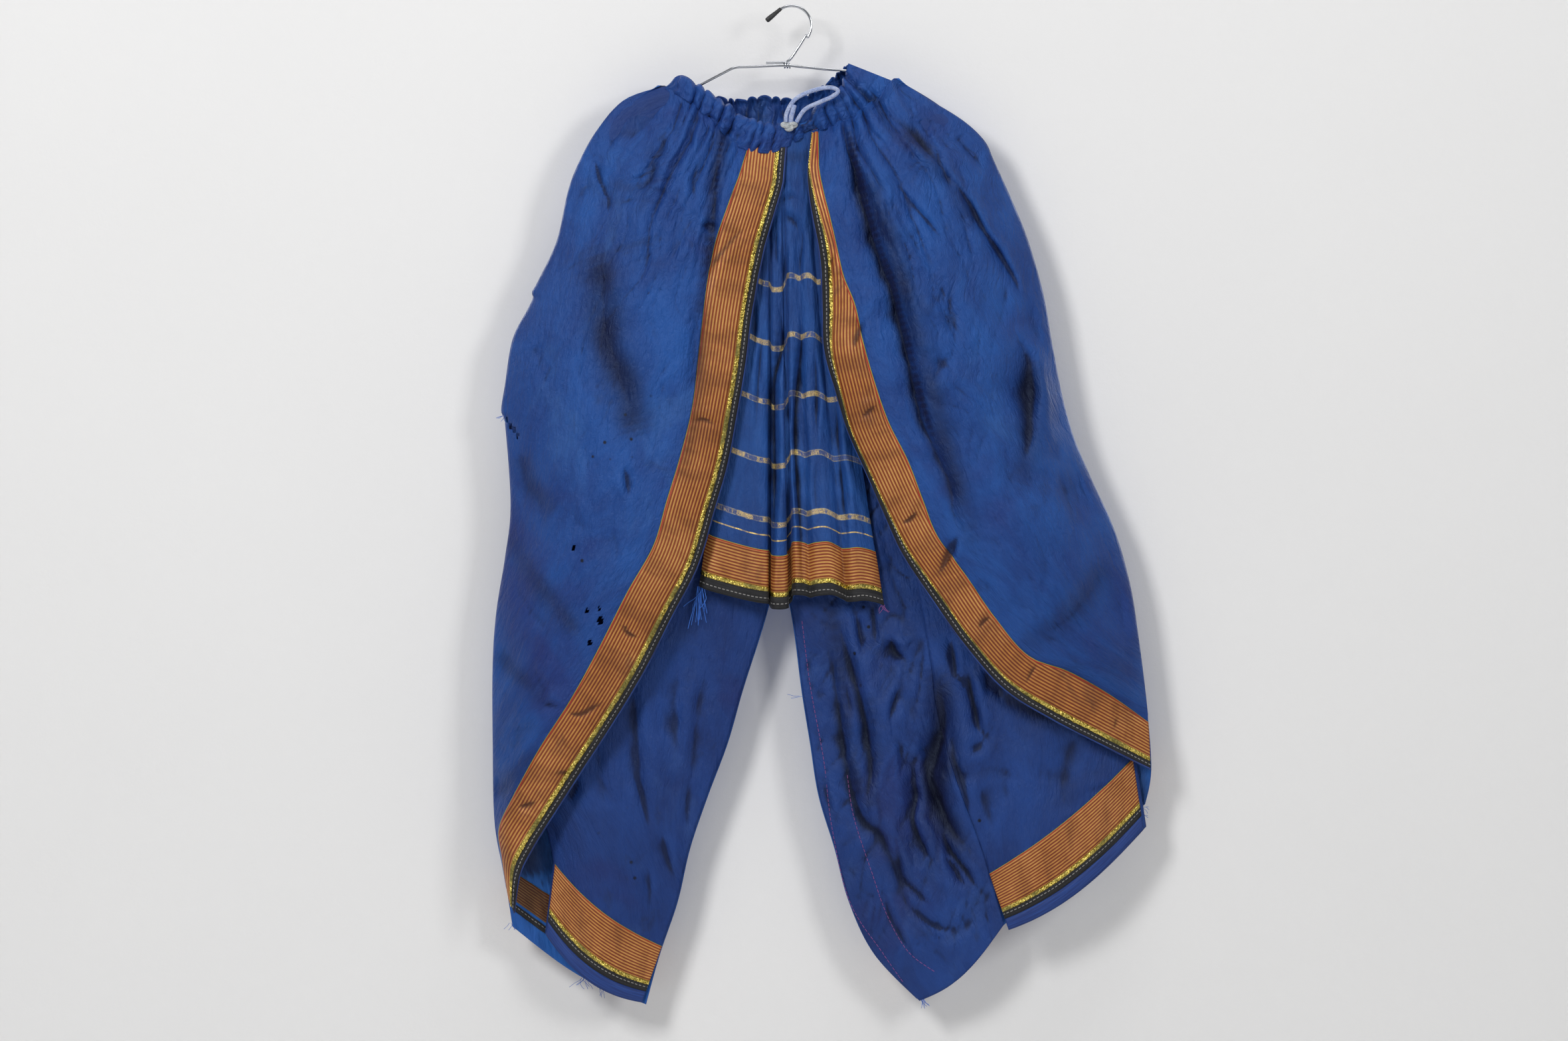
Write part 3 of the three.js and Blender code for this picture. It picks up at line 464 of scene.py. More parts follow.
def silk(name, light, middle, shade, violet, soil, crease, zari=None, dim="dim"):
    material, n = newMaterial(name)
    uv, place = n.flat(), n.place()
    weave = n.group(weaveGroup, Vector=uv, Crease=crease)
    wear = n.group(wearGroup, Vector=place, Soil=soil)
    hollow, slub = n.field("hollow"), weave["Slub"]
    streak = n.remap(n.grain(uv, (24, 11, 1), 5, 0.62, 0.7, 12), 0.3, 0.7)
    tone = n.plus(n.times(wear["Fade"], 0.45), n.times(streak, 0.55))
    violetPatch = n.remap(n.noise(place, 5.5, 3, 0.6, 0.4), 0.52, 0.68, (0.0, 0.55))
    palePatch = n.remap(n.noise(n.mapped(place, (1, 1, 0.7)), 11, 5, 0.64, 0.6), 0.56, 0.72, (0.0, 0.42))
    colour = n.layers(n.mix(tone, rgb(*middle), rgb(*light)), [
        (violetPatch, violet),
        (palePatch, [c + 0.12 * (200 - c) for c in light]),
        # painted highlight on the crests and painted shade in the hollows, from the mesh's hollow field
        (n.remap(hollow, -0.05, -0.55, (0.0, 0.35)), light),
        (n.remap(hollow, 0.04, 0.6, (0.0, 0.8)), shade),
        (n.remap(slub, 0.45, 0.75, (0.0, 0.16)), light),
        # painted shade: from the shade tables (dim), in the fold troughs and along the fine crease lines
        (n.remap(n.field(dim), 0.0, 1.1, (0.0, 0.97)), shade),
        (n.remap(n.field("foldShade"), 0.08, 0.9, (0.0, 0.88)), scaled(shade, 0.62)),
        (n.remap(weave["Line"], 0.95, 1.5, (0.0, 0.4)), shade),
        (n.times(wear["Dirt"], 0.6), (26, 30, 48)),
        (wear["Speck"], (14, 14, 26)),
    ])
    rough = n.remap(slub, 0.3, 0.8, (0.46, 0.36))
    look = {"Specular IOR Level": 0.36, "Specular Tint": (0.55, 0.70, 1.0, 1), "Sheen Weight": 0.07,
            "Sheen Roughness": 0.4, "Sheen Tint": (0.35, 0.35, 0.95, 1)}
    if zari is not None:
        colour, rough, look["Metallic"] = zariLines(n, uv, zari, colour, rough)
    look.update({"Base Color": colour, "Roughness": rough, "Normal": n.bump(weave["Height"], 0.0026, 0.9)})
    n.shader(look)
    return material


def zariLines(n, uv, zari, colour, rough):   # pairs of thin metal threads with bright dashes between
    half = zari["gap"] / 2
    wave = n.grain(uv, (28, 0, 0), 2, 0.5)
    v = n.plus(n.split(uv)[1], n.times(n.minus(wave, 0.5), 0.003))
    above = n.minus(v, zari["first"])
    phase = n.math("MODULO", n.plus(above, 10 * zari["pitch"]), zari["pitch"])
    offset = n.math("ABSOLUTE", n.minus(phase, half + 0.002))
    thin = n.remap(n.math("ABSOLUTE", n.minus(offset, half)), 0.0007, 0.0003)
    dash = n.remap(n.grain(uv, (1100, 700, 1), 3, 0.7), 0.38, 0.56)
    patch = n.remap(n.grain(uv, (46, 16, 1), 4, 0.8), 0.44, 0.53, (0.12, 1.0))
    between = n.times(n.remap(offset, half, half - 0.0004), n.times(dash, patch))
    low = n.remap(n.math("ABSOLUTE", n.minus(above, -zari["drop"])), 0.0009, 0.0004)
    inside = n.times(n.math("GREATER_THAN", v, zari["first"] - 0.002), n.math("LESS_THAN", v, zari["last"]))
    worn = n.remap(n.grain(uv, (120, 40, 1), 3, 0.6), 0.35, 0.60, (0.25, 1.0))
    thread = n.times(n.times(thin, inside), worn)
    bright = n.times(n.times(between, inside), 0.8)
    lowLine = n.times(low, worn)
    metal = n.math("MAXIMUM", n.math("MAXIMUM", n.times(thread, 0.6), bright), lowLine, clamp=True)
    gold = n.math("MAXIMUM", bright, lowLine, clamp=True)
    colour = n.layers(colour, [(n.times(thread, 0.62), (176, 168, 132)), (gold, (232, 200, 116))])
    return colour, n.minus(rough, n.times(metal, 0.12)), n.times(metal, 0.75)


def copperBand(name, shade=1.0):             # fine ochre and red-brown stripes along the band
    material, n = newMaterial(name)
    uv, place = n.flat(), n.place()
    wobble = n.times(n.minus(n.grain(uv, (25, 14, 1), 2, 0.5), 0.5), 0.0007)
    turn = n.times(n.plus(n.split(uv)[0], wobble), 2 * math.pi / 0.0033)
    stripe = n.remap(n.math("SINE", turn), -0.35, 0.45)
    broken = n.remap(n.grain(uv, (900, 130, 1), 2, 0.6), 0.3, 0.7, (0.72, 1.0))
    wear = n.group(wearGroup, Vector=place, Soil=1.0)
    weave = n.group(weaveGroup, Vector=uv, Crease=0.7)
    soil = n.remap(n.grain(uv, (9, 30, 1), 4, 0.6), 0.44, 0.66, (0.0, 0.55))
    ochre = n.layers(n.mix(wear["Fade"], rgb(190, 132, 62), rgb(210, 158, 88)), [(soil, (140, 84, 36))])
    rust = n.layers(n.mix(wear["Fade"], rgb(112, 44, 20), rgb(136, 62, 32)), [(soil, (84, 40, 20))])
    outer = n.field("outer")
    red = n.times(n.remap(outer, 0.6, 0.9), n.remap(outer, 2.2, 1.9))
    colour = n.layers(n.mix(n.times(stripe, broken), rust, ochre), [
        (red, (156, 38, 30)),
        (n.remap(outer, 0.95, 0.65), (150, 142, 52)),
        # painted shade: in the hollows, from the shade tables and in the fold troughs
        (n.remap(n.field("hollow"), 0.05, 0.5, (0.0, 0.7)), (84, 44, 22)),
        (n.times(n.field("dim"), 0.95, clamp=True), (84, 44, 22)),
        (n.remap(n.field("foldShade"), 0.05, 0.8, (0.0, 0.8)), (66, 32, 16)),
        (n.times(wear["Dirt"], 0.55), (74, 44, 30)),
    ])
    # a shade below 1 darkens the whole colour: painted shade
    n.shader({"Base Color": n.mix(1.0, colour, (shade, shade, shade, 1), "MULTIPLY"),
              "Roughness": n.remap(stripe, 0, 1, (0.62, 0.44)), "Metallic": n.times(stripe, 0.18),
              "Specular IOR Level": 0.35,
              "Normal": n.bump(n.plus(weave["Height"], n.times(stripe, 0.12)), 0.0013, 0.7)})
    return material


def goldFoil(name):                          # crinkled metal ribbon, dull where it is worn
    material, n = newMaterial(name)
    uv = n.flat()
    facets = n.cells(n.mapped(uv, (260, 330, 1)), 1.0)
    crinkle = n.grain(uv, (420, 520, 1), 3, 0.6, 0.4)
    worn = n.remap(n.grain(uv, (40, 26, 1), 3, 0.6), 0.50, 0.62)
    # painted glints and shade: the colour runs from dark to bright gold with the crinkle
    colour = n.mix(n.remap(crinkle, 0.35, 0.65), rgb(128, 108, 30), rgb(246, 222, 120))
    n.shader({"Base Color": n.layers(colour, [(n.times(worn, 0.8), (92, 88, 34))]),
              "Roughness": n.remap(worn, 0, 1, (0.24, 0.55)), "Metallic": n.remap(worn, 0, 1, (0.95, 0.35)),
              "Normal": n.bump(n.plus(facets, n.times(crinkle, 0.8)), 0.0014, 0.9)})
    return material


def plainCloth(name, main, worn, rough=0.7, thread=1.0, stitch=None):
    material, n = newMaterial(name)
    uv, place = n.flat(), n.place()
    weave = n.group(weaveGroup, Vector=uv, Crease=0.5)
    wear = n.group(wearGroup, Vector=place, Soil=0.6)
    colour = n.layers(n.mix(n.remap(weave["Slub"], 0.35, 0.75), rgb(*main), rgb(*worn)), [
        (n.times(wear["Dirt"], 0.4), (44, 44, 48)),
        # painted shade in the hollows
        (n.remap(n.field("hollow"), 0.05, 0.6, (0.0, 0.5)), scaled(main, 0.55)),
    ])
    if stitch is not None:                   # a row of machine stitches
        parts = n.split(uv)
        wander = n.times(n.grain(uv, (0, 30, 1), 1, 0.5), 0.0016)
        off = n.math("ABSOLUTE", n.minus(n.plus(parts[0], wander), stitch["at"]))
        dash = n.remap(n.math("SINE", n.times(parts[1], 2 * math.pi / stitch["pitch"])), -0.5, -0.1)
        row = n.times(n.remap(off, 0.0006, 0.0003), dash)
        colour = n.layers(colour, [(n.times(row, 0.8), (150, 148, 146))])
    n.shader({"Base Color": colour, "Roughness": n.remap(wear["Fade"], 0, 1, (rough, rough - 0.1)),
              "Specular IOR Level": 0.3, "Sheen Weight": 0.05,
              "Normal": n.bump(n.times(weave["Height"], thread), 0.0009, 0.8)})
    return material


def cordCotton(name, main, worn):            # a soft braided cotton cord
    material, n = newMaterial(name)
    place = n.place()
    braid = n.cells(n.mapped(place, (1, 1, 1), 40), 900)
    fuzz = n.noise(place, 1500, 3, 0.7)
    colour = n.mix(n.remap(n.noise(place, 130, 3, 0.6), 0.35, 0.65), rgb(*main), rgb(*worn))
    # painted shade in the grooves between the braid's strands
    colour = n.layers(colour, [(n.remap(braid, 0.45, 0.75, (0.0, 0.4)), scaled(main, 0.6))])
    height = n.plus(n.times(braid, -1.0), n.times(fuzz, 0.5))
    n.shader({"Base Color": colour, "Roughness": n.remap(fuzz, 0, 1, (0.8, 0.95)), "Sheen Weight": 0.4,
              "Normal": n.bump(height, 0.0007, 0.9)})
    return material


def chromeWire(name):
    material, n = newMaterial(name)
    place = n.place()
    smear = n.noise(place, 90, 4, 0.6)
    pit = n.remap(n.noise(place, 700, 2, 0.5), 0.62, 0.72)
    colour = n.mix(smear, rgb(196, 200, 206), rgb(226, 228, 232))
    colour = n.layers(colour, [(n.times(pit, 0.6), (120, 104, 84))])
    n.shader({"Base Color": colour, "Roughness": n.remap(smear, 0.3, 0.7, (0.12, 0.24)),
              "Metallic": n.remap(pit, 0, 1, (1.0, 0.7)), "Normal": n.bump(smear, 0.0002, 0.4)})
    return material


def blackRubber(name):
    material, n = newMaterial(name)
    scuff = n.noise(n.place(), 420, 4, 0.65)
    n.shader({"Base Color": n.mix(n.remap(scuff, 0.5, 0.8), rgb(34, 34, 35), rgb(86, 86, 88)),
              "Roughness": n.remap(scuff, 0.2, 0.8, (0.42, 0.62)), "Normal": n.bump(scuff, 0.0003, 0.6)})
    return material


silkDrape = silk("silkDrape", (31, 78, 150), (24, 52, 114), (13, 17, 50), (34, 38, 98), 0.5, 1.5)
silkUnder = silk("silkUnder", (30, 62, 128), (24, 44, 98), (12, 15, 44), (30, 32, 84), 0.7, 1.1)
# the inner face takes its painted shade from the within field
silkInside = silk("silkInside", (42, 100, 178), (32, 76, 146), (12, 18, 50), (36, 58, 124), 0.4, 0.8,
                  dim="within")
silkFan = silk("silkFan", (36, 80, 148), (25, 54, 112), (10, 15, 44), (26, 44, 92), 0.4, 1.0,
               {"first": 0.084, "pitch": 0.062, "gap": 0.0052, "last": 0.350, "drop": 0.012})
copper = copperBand("copperBand")
# the band's inner face: the same copper darkened to 0.3, painted shade
copperShadedInside = copperBand("copperShadedInside", 0.3)
foil = goldFoil("goldFoil")
bindingCloth = plainCloth("bindingCloth", (24, 24, 26), (44, 44, 46), 0.75, 1.6,
                          {"at": 0.0065, "pitch": 0.0045})
pipingCloth = plainCloth("pipingCloth", (26, 46, 102), (40, 74, 146), 0.6)
facingCloth = plainCloth("facingCloth", (26, 48, 106), (36, 70, 140), 0.6, 1.2)
cordMaterial = cordCotton("cordCotton", (142, 160, 206), (178, 190, 222))
knotMaterial = cordCotton("knotCotton", (176, 182, 186), (206, 208, 206))
purpleThread = plainCloth("purpleThread", (118, 66, 126), (150, 96, 150), 0.8)
blueThread = plainCloth("blueThread", (40, 86, 178), (70, 128, 210), 0.8)
wireMaterial = chromeWire("chromeWire")
rubberMaterial = blackRubber("blackRubber")
print("materials made")


# ---- the drawstring: loop, knot and free end ----

drawstring = {"radius": 2.2, "knotY": -28.1, "wrapRadius": 2.15, "endRadius": 2.5}


def curvePiece(name, lines, radius, material, smoothing, resolution, keepCurve=False, radii=(1,)):
    data = bpy.data.curves.new(name, "CURVE")
    data.dimensions = "3D"
    data.bevel_depth = radius * mm
    data.bevel_resolution = resolution
    data.use_fill_caps = True
    for line in lines:
        spline = data.splines.new("POLY")
        fine = smoothLine(line, smoothing * (len(line) - 1) + 1) if smoothing > 1 else np.array(line, float)
        spline.points.add(len(fine) - 1)
        for n, (point, p) in enumerate(zip(spline.points, fine)):
            point.co = (p[0] * mm, p[1] * mm, p[2] * mm, 1)
            point.radius = float(np.interp(n / (len(fine) - 1), np.linspace(0, 1, len(radii)), radii))
        spline.use_smooth = True
    piece = linked(name, data)
    data.materials.append(material)
    return piece if keepCurve else asMesh(piece)


def asMesh(piece):
    bpy.context.view_layer.update()
    mesh = bpy.data.meshes.new_from_object(piece.evaluated_get(bpy.context.evaluated_depsgraph_get()))
    name, data = piece.name, piece.data
    bpy.data.objects.remove(piece)
    bpy.data.curves.remove(data)
    mesh.name = name
    return linked(name, mesh)


def joined(name, pieces):
    bm = bmesh.new()
    materials = []
    for piece in pieces:
        start = len(bm.faces)
        bm.from_mesh(piece.data)
        bm.faces.ensure_lookup_table()
        for face in bm.faces[start:]:
            face.material_index = len(materials)
        materials.append(piece.data.materials[0])
        mesh = piece.data
        bpy.data.objects.remove(piece)
        bpy.data.meshes.remove(mesh)
    mesh = bpy.data.meshes.new(name)
    bm.to_mesh(mesh)
    bm.free()
    for material in materials:
        mesh.materials.append(material)
    return linked(name, mesh)


def makeDrawstring():
    y = drawstring["knotY"]
    loopLine = [(-6, y, -123.8), (-5, y - 1, -114), (4, y - 2, -100), (22, y - 1, -91), (40, y + 1, -87.5),
                (49, y + 2, -91), (43, y + 1, -97), (30, y - 2, -103), (14, y - 3, -111), (5.2, y, -123.8)]
    loop = curvePiece("drawstringLoop", [loopLine], drawstring["radius"], cordMaterial, 5, 4, keepCurve=True)
    wraps = []                               # the knot is one strand wound over itself
    for k in range(49):
        t = 2 * math.pi * k / 48
        wraps.append((-2.6 + 2.9 * (math.sin(t) + 1.7 * math.sin(2 * t)),
                      y - 0.4 + 1.5 * math.sin(3 * t), -128.2 + 1.45 * (math.cos(t) - 1.6 * math.cos(2 * t))))
    knot = curvePiece("knotWraps", [wraps], drawstring["wrapRadius"], knotMaterial, 1, 4)
    endLine = [(-0.8, y - 0.5, -125.5), (-0.4, y - 2.2, -119), (1.4, y - 2.4, -112), (2.8, y - 1.6, -106.6)]
    end = curvePiece("knotEnd", [endLine], drawstring["endRadius"], cordMaterial, 5, 4)
    knot = joined("drawstringKnot", [knot, end])
    stand(loop, "cord", "drawstring_loop")
    stand(knot, "cord_knot", "drawstring_knot", "drawstring_end")


makeDrawstring()
print("drawstring made")


# ---- the waist casing ----

frontCasing = {
    "topX": [-132, -117, -94, -66, -42, -15, 13, 31, 50, 57, 60],
    "topZ": [-84, -77, -88, -108, -122, -128, -124, -104, -90, -73, -60],
    "footX": [-134, -118, -101, -77, -54, -20, 18, 42, 66, 88, 108],
    "footZ": [-86.6, -96, -108, -131, -151, -156, -137, -129, -118, -101, -79],
    "y": [-2.6, -10, -16, -20, -22, -22, -21, -18, -14, -9, -3.4],
    "tuck": 3.5, "columns": 280, "rows": 20, "seed": 11, "gather": 3.9, "pitch": 18,
}
backCasing = {
    "topX": [-132, -115, -90, -60, -30, 0, 28, 48, 60],
    "topZ": [-84, -79, -92, -99, -95, -98, -88, -72, -60],
    "footX": [-134, -118, -93, -62, -30, 2, 34, 66, 108],
    "footZ": [-86.6, -99, -118, -127, -127, -127, -117, -104, -79],
    "y": [2.6, 10, 15, 17, 18, 17, 15, 11, 3.4],
    "tuck": 3.0, "columns": 280, "rows": 18, "seed": 12, "gather": 3.4, "pitch": 14,
}


def underCasing(casing, x):                  # where a panel's top edge hangs, y and z
    return (np.interp(x, casing["footX"], casing["y"]),
            np.interp(x, casing["footX"], casing["footZ"]) + casing["tuck"])


def gathers(walk, seed, pitch):              # rounded puffs with sharp uneven valleys between, -1 to 1
    bend = pitch * (1.3 * latticeNoise(walk / (3.1 * pitch), 0 * walk + 2, seed)
                    + 0.6 * latticeNoise(walk / (1.3 * pitch), 0 * walk, seed + 1))
    wave = 2 * np.abs(np.sin(math.pi * (walk + bend) / pitch)) ** 0.65 - 1
    return wave * np.clip(0.8 + 0.9 * latticeNoise(walk / (1.9 * pitch), 0 * walk + 4, seed + 2), 0.12, 1.5)


def footWalk(casing, x):                     # mm along the casing's foot at x
    return np.interp(x, casing["footX"], np.concatenate(
        [[0], np.hypot(np.diff(casing["footX"]), np.diff(casing["footZ"])).cumsum()]))


def casingPoints(casing, side):
    t = np.linspace(0, 1, casing["columns"])[None, :]
    s = np.linspace(0, 1, casing["rows"])[:, None]
    at = {key: smoothAt(casing[key], t) for key in ("topX", "topZ", "footX", "footZ", "y")}
    walk = footWalk(casing, at["footX"])
    calm = eased(9 * t) * eased(9 * (1 - t))
    seed, pitch = casing["seed"], casing["pitch"]
    ruffle = gathers(walk + 2 * (s - 0.5) * latticeNoise(walk / 12, 0 * walk, seed + 5), seed, pitch)
    small = latticeNoise(walk / 6 + 0.8 * s, 3.4 * s + walk / 40, seed + 8)
    ruffle = ruffle * (0.8 + 0.25 * s) + 0.55 * small
    ruffle -= 0.55 * creaseField(walk + 0 * s, 30 * s + 0 * walk, 9, 24, seed + 9)
    x = at["topX"] + (at["footX"] - at["topX"]) * s
    x = x + 1.3 * calm * latticeNoise(walk / 9, 3 * s + 0 * walk, 31)
    z = at["topZ"] + (at["footZ"] - at["topZ"]) * s
    z = z + 4.2 * calm * (1 - s) * (0.3 + 0.7 * gathers(walk + 1.5, seed, pitch))
    bulge = 2.0 * np.sin(math.pi * np.clip(s * 1.05, 0, 1)) + 2.2 * eased(1 - 7 * s) * -1.6
    y = at["y"] + side * (bulge * calm + casing["gather"] * calm * ruffle) + side * 0.6
    # painted shade in the valleys between the gathers
    dark = eased(-1.5 * ruffle - 0.1) * calm * (0.35 + 0.65 * s)
    return np.stack([x, y, z], -1), dark


def makeCasing(name, node, casing, side):
    points, dark = casingPoints(casing, side)
    piece = clothPiece(name, points, side, [silkDrape, silkDrape], wall=0.9, extra={"foldShade": 0.7 * dark})
    stand(piece, "blue_silk", node)


makeCasing("waistCasingFront", "waist_casing_front", frontCasing, -1)
makeCasing("waistCasingBack", "waist_casing_back", backCasing, 1)
print("casing made")


# ---- the drapes ----

leftDrape = {
    "edgeX": [-4, -8, -17, -28, -36, -43, -48, -57, -67, -82, -99, -126, -155, -189, -221, -248, -270, -286,
              -293],
    "edgeZ": [-157, -187, -219, -257, -296, -338, -380, -432, -485, -537, -593, -646, -703, -759, -808,
              -850, -885, -917, -958],
    "bandX": [-46, -56, -67, -79, -88, -93, -98, -104, -116, -131, -145, -172, -202, -231, -264, -291, -308,
              -305, -299.5],
    "bandZ": [-155, -182, -212, -250, -289, -329, -373, -423, -473, -523, -570, -618, -677, -730, -782,
              -831, -868, -899, -936],
    "seamZ": [-87, -100, -131, -163, -219, -275, -331, -387, -450, -513, -579, -639, -695, -744, -786, -824,
              -862, -894, -931],
    "depth": [-24, -29, -33, -35, -36, -36, -36, -36, -37, -39, -40, -40, -38, -36, -33, -29, -27, -23,
              -18],
    "belly": [6, 13, 20, 26, 30, 33, 35, 36, 37, 37, 36, 34, 31, 27, 22, 16, 12, 9, 7],
    "black": [8] * 11 + [8.5] * 6 + [8, 7],
    "gold": [4, 4, 4, 4.2, 4.2, 4.2, 4.4, 4.4, 4.4, 4.4, 4.4, 4.4, 4.6, 4.6, 4.6, 4.6, 4.6, 4, 3],
    "rows": 350, "borderColumns": 16, "bodyColumns": 96, "seed": 21, "turn": -14,
}
leftDrapeFolds = [                           # width, depth, tuck sideways, line of (x, z)
    (6.5, 20, -3, [(-76, -138), (-78, -172), (-80, -215), (-82, -262), (-88, -305), (-97, -345)]),
    (4.5, 9, 2, [(-79, -117), (-82, -138), (-91, -154), (-101, -174), (-105, -191), (-103, -205),
                 (-112, -222)]),
    (3.6, 8, 1.5, [(-106, -100), (-107, -122), (-105, -145), (-103, -168)]),
    (3.8, 8, 0, [(-115, -112), (-112, -124), (-109, -137)]),
    (4.5, 5, 0, [(-160, -108), (-146, -119), (-135, -127), (-126, -125)]),
    (5, 7, 1, [(-131, -127), (-135, -140), (-135, -154), (-143, -168), (-147, -184), (-156, -197),
               (-163, -220)]),
    (5, 7, 0, [(-172, -99), (-180, -119), (-188, -142), (-198, -160)]),
    (3.6, 6, 0, [(-209, -154), (-206, -174), (-199, -194), (-193, -208), (-196, -226)]),
    (6, 5, 0, [(-97, -212), (-112, -244), (-120, -260), (-134, -284)]),
    (8.5, 2.8, 0, [(-128, -236), (-149, -266), (-170, -297)]),
    (6.8, 2.5, 0, [(-88, -235), (-97, -262), (-101, -290)]),
    (17, 9, 0, [(-214, -262), (-198, -300), (-193, -350), (-180, -386), (-169, -426), (-160, -458)]),
    (8.5, -2.5, 0, [(-200, -400), (-203, -432), (-206, -466)]),
    (4, 6, 0, [(-176, -484), (-173, -500), (-170, -526)]),
    (12.8, 3.7, 0, [(-292, -450), (-284, -488), (-270, -517), (-246, -542)]),
    (10.2, -3.1, 0, [(-286, -580), (-273, -610), (-252, -638), (-232, -660), (-216, -677)]),
    (11, 3.7, 0, [(-296, -600), (-281, -628), (-262, -652), (-246, -672)]),
    (11.9, 3.7, 0, [(-314, -668), (-296, -690), (-279, -700)]),
    (6.8, 3.1, 0, [(-283, -690), (-266, -706), (-258, -722), (-252, -738)]),
    (4.8, 2.2, 0, [(-262, -713), (-247, -716), (-232, -714)]),
    (3.2, 4.5, 0, [(-264, -736), (-250, -736), (-236, -740)]),
    (7.1, 3.1, 0, [(-304, -762), (-288, -764), (-272, -759), (-259, -747)]),
    (13.6, 3.7, 0, [(-315, -778), (-297, -793), (-276, -792)]),
    (13.6, 3.1, 0, [(-316, -812), (-303, -822), (-293, -832)]),
    (6.8, -2.2, 0, [(-240, -320), (-238, -352), (-246, -390)]),
    (10.2, 2.8, 0, [(-262, -330), (-266, -365), (-258, -402), (-262, -438)]),
    (8.5, 2.5, 0, [(-132, -400), (-126, -430), (-130, -462)]),
    (11.9, 3.1, 0, [(-150, -300), (-142, -340), (-146, -380)]),
    (10.2, -2.5, 0, [(-216, -250), (-222, -285), (-214, -318)]),
    (6.8, 2.5, 0, [(-232, -520), (-222, -545), (-210, -556)]),
    (8.5, 2.8, 0, [(-190, -545), (-182, -575), (-188, -600)]),
]
leftBorderFolds = [
    (4.1, 4.5, 0, [(-98, -237), (-88, -233), (-76, -238)]),
    (3.5, 3.9, 0, [(-92, -292), (-76, -268), (-58, -246), (-44, -232)]),
    (3.2, 3.1, 0, [(-106, -440), (-92, -436), (-76, -446)]),
    (3.0, 3.9, 0, [(-178, -648), (-170, -660), (-158, -668)]),
    (3.5, 4.2, 0, [(-240, -742), (-222, -748), (-204, -738), (-190, -732)]),
    (3.0, 3.4, 0, [(-252, -812), (-240, -806), (-228, -810)]),
    (4.3, 3.9, 0, [(-292, -846), (-276, -840), (-262, -836)]),
    (8.1, 5.2, 0, [(-98, -312), (-101, -352), (-104, -396), (-108, -430)]),
]

leftDrapeShades = [                          # width, strength, line of (x, z)
    (23, 0.9, [(-216, -246), (-198, -300), (-193, -358), (-178, -396), (-168, -428), (-158, -462)]),
    (13, 0.6, [(-286, -470), (-273, -510), (-246, -536)]),
    (13, 0.65, [(-302, -549), (-282, -590), (-264, -613), (-241, -641), (-222, -668)]),
    (8, 0.45, [(-190, -186), (-172, -194), (-156, -200)]),
    (10, 0.8, [(-68, -120), (-72, -140), (-79, -182), (-84, -228), (-90, -300), (-98, -340)]),
    (4.5, 1.1, [(-70, -126), (-76, -160), (-80, -200), (-84, -240), (-90, -290)]),
    (8, 0.4, [(-150, -140), (-146, -168), (-152, -196), (-160, -226)]),
    (12, 0.5, [(-314, -680), (-296, -700), (-274, -716), (-254, -742)]),
    (14, 0.5, [(-310, -840), (-292, -812), (-268, -790), (-244, -784)]),
]
leftBandShades = [(8, 0.75, [(-90, -250), (-93, -300), (-95, -350), (-99, -400), (-106, -450),
                             (-120, -508)]),
                  (5, 0.5, [(-62, -160), (-70, -190), (-58, -206)])]

rightDrape = {
    "edgeX": [21, 17, 18, 22, 28, 31, 32, 34, 46, 59, 79, 97, 116, 146, 181, 223, 272, 324, 379],
    "edgeZ": [-137, -170, -198, -226, -257, -289, -324, -366, -408, -450, -495, -537, -579, -625, -674,
              -721, -752, -779, -807],
    "bandX": [28, 29, 34, 41, 48, 55, 67, 76, 88, 102, 122, 138, 153, 182, 211, 247, 291, 333, 377],
    "bandZ": [-135, -170, -198, -226, -257, -287, -318, -359, -401, -441, -481, -523, -560, -600, -642,
              -684, -702, -726, -757],
    "seamZ": [-80, -100, -121, -142, -173, -219, -264, -317, -373, -429, -485, -534, -579, -625, -663, -688,
              -709, -730, -749],
    "depth": [-22, -29, -33, -35, -36, -36, -36, -37, -38, -39, -40, -41, -42, -42, -40, -37, -32, -24, -8],
    "belly": [5, 12, 19, 25, 29, 33, 36, 38, 40, 41, 41, 40, 37, 33, 28, 22, 16, 10, 2],
    "black": [0.5, 1, 4, 7.5, 8.5, 8, 8, 7, 5, 4, 4, 5, 7, 9, 9, 9, 8.5, 8.5, 8.5],
    "gold": [0.5, 1, 1.5, 1.5, 2.5, 3.5, 3.5, 2, 1, 0.6, 0.6, 1, 1.5, 1.2, 1.2, 2.5, 4.4, 4.6, 4.6],
    "rows": 345, "borderColumns": 14, "bodyColumns": 100, "seed": 24, "turn": 18,
}
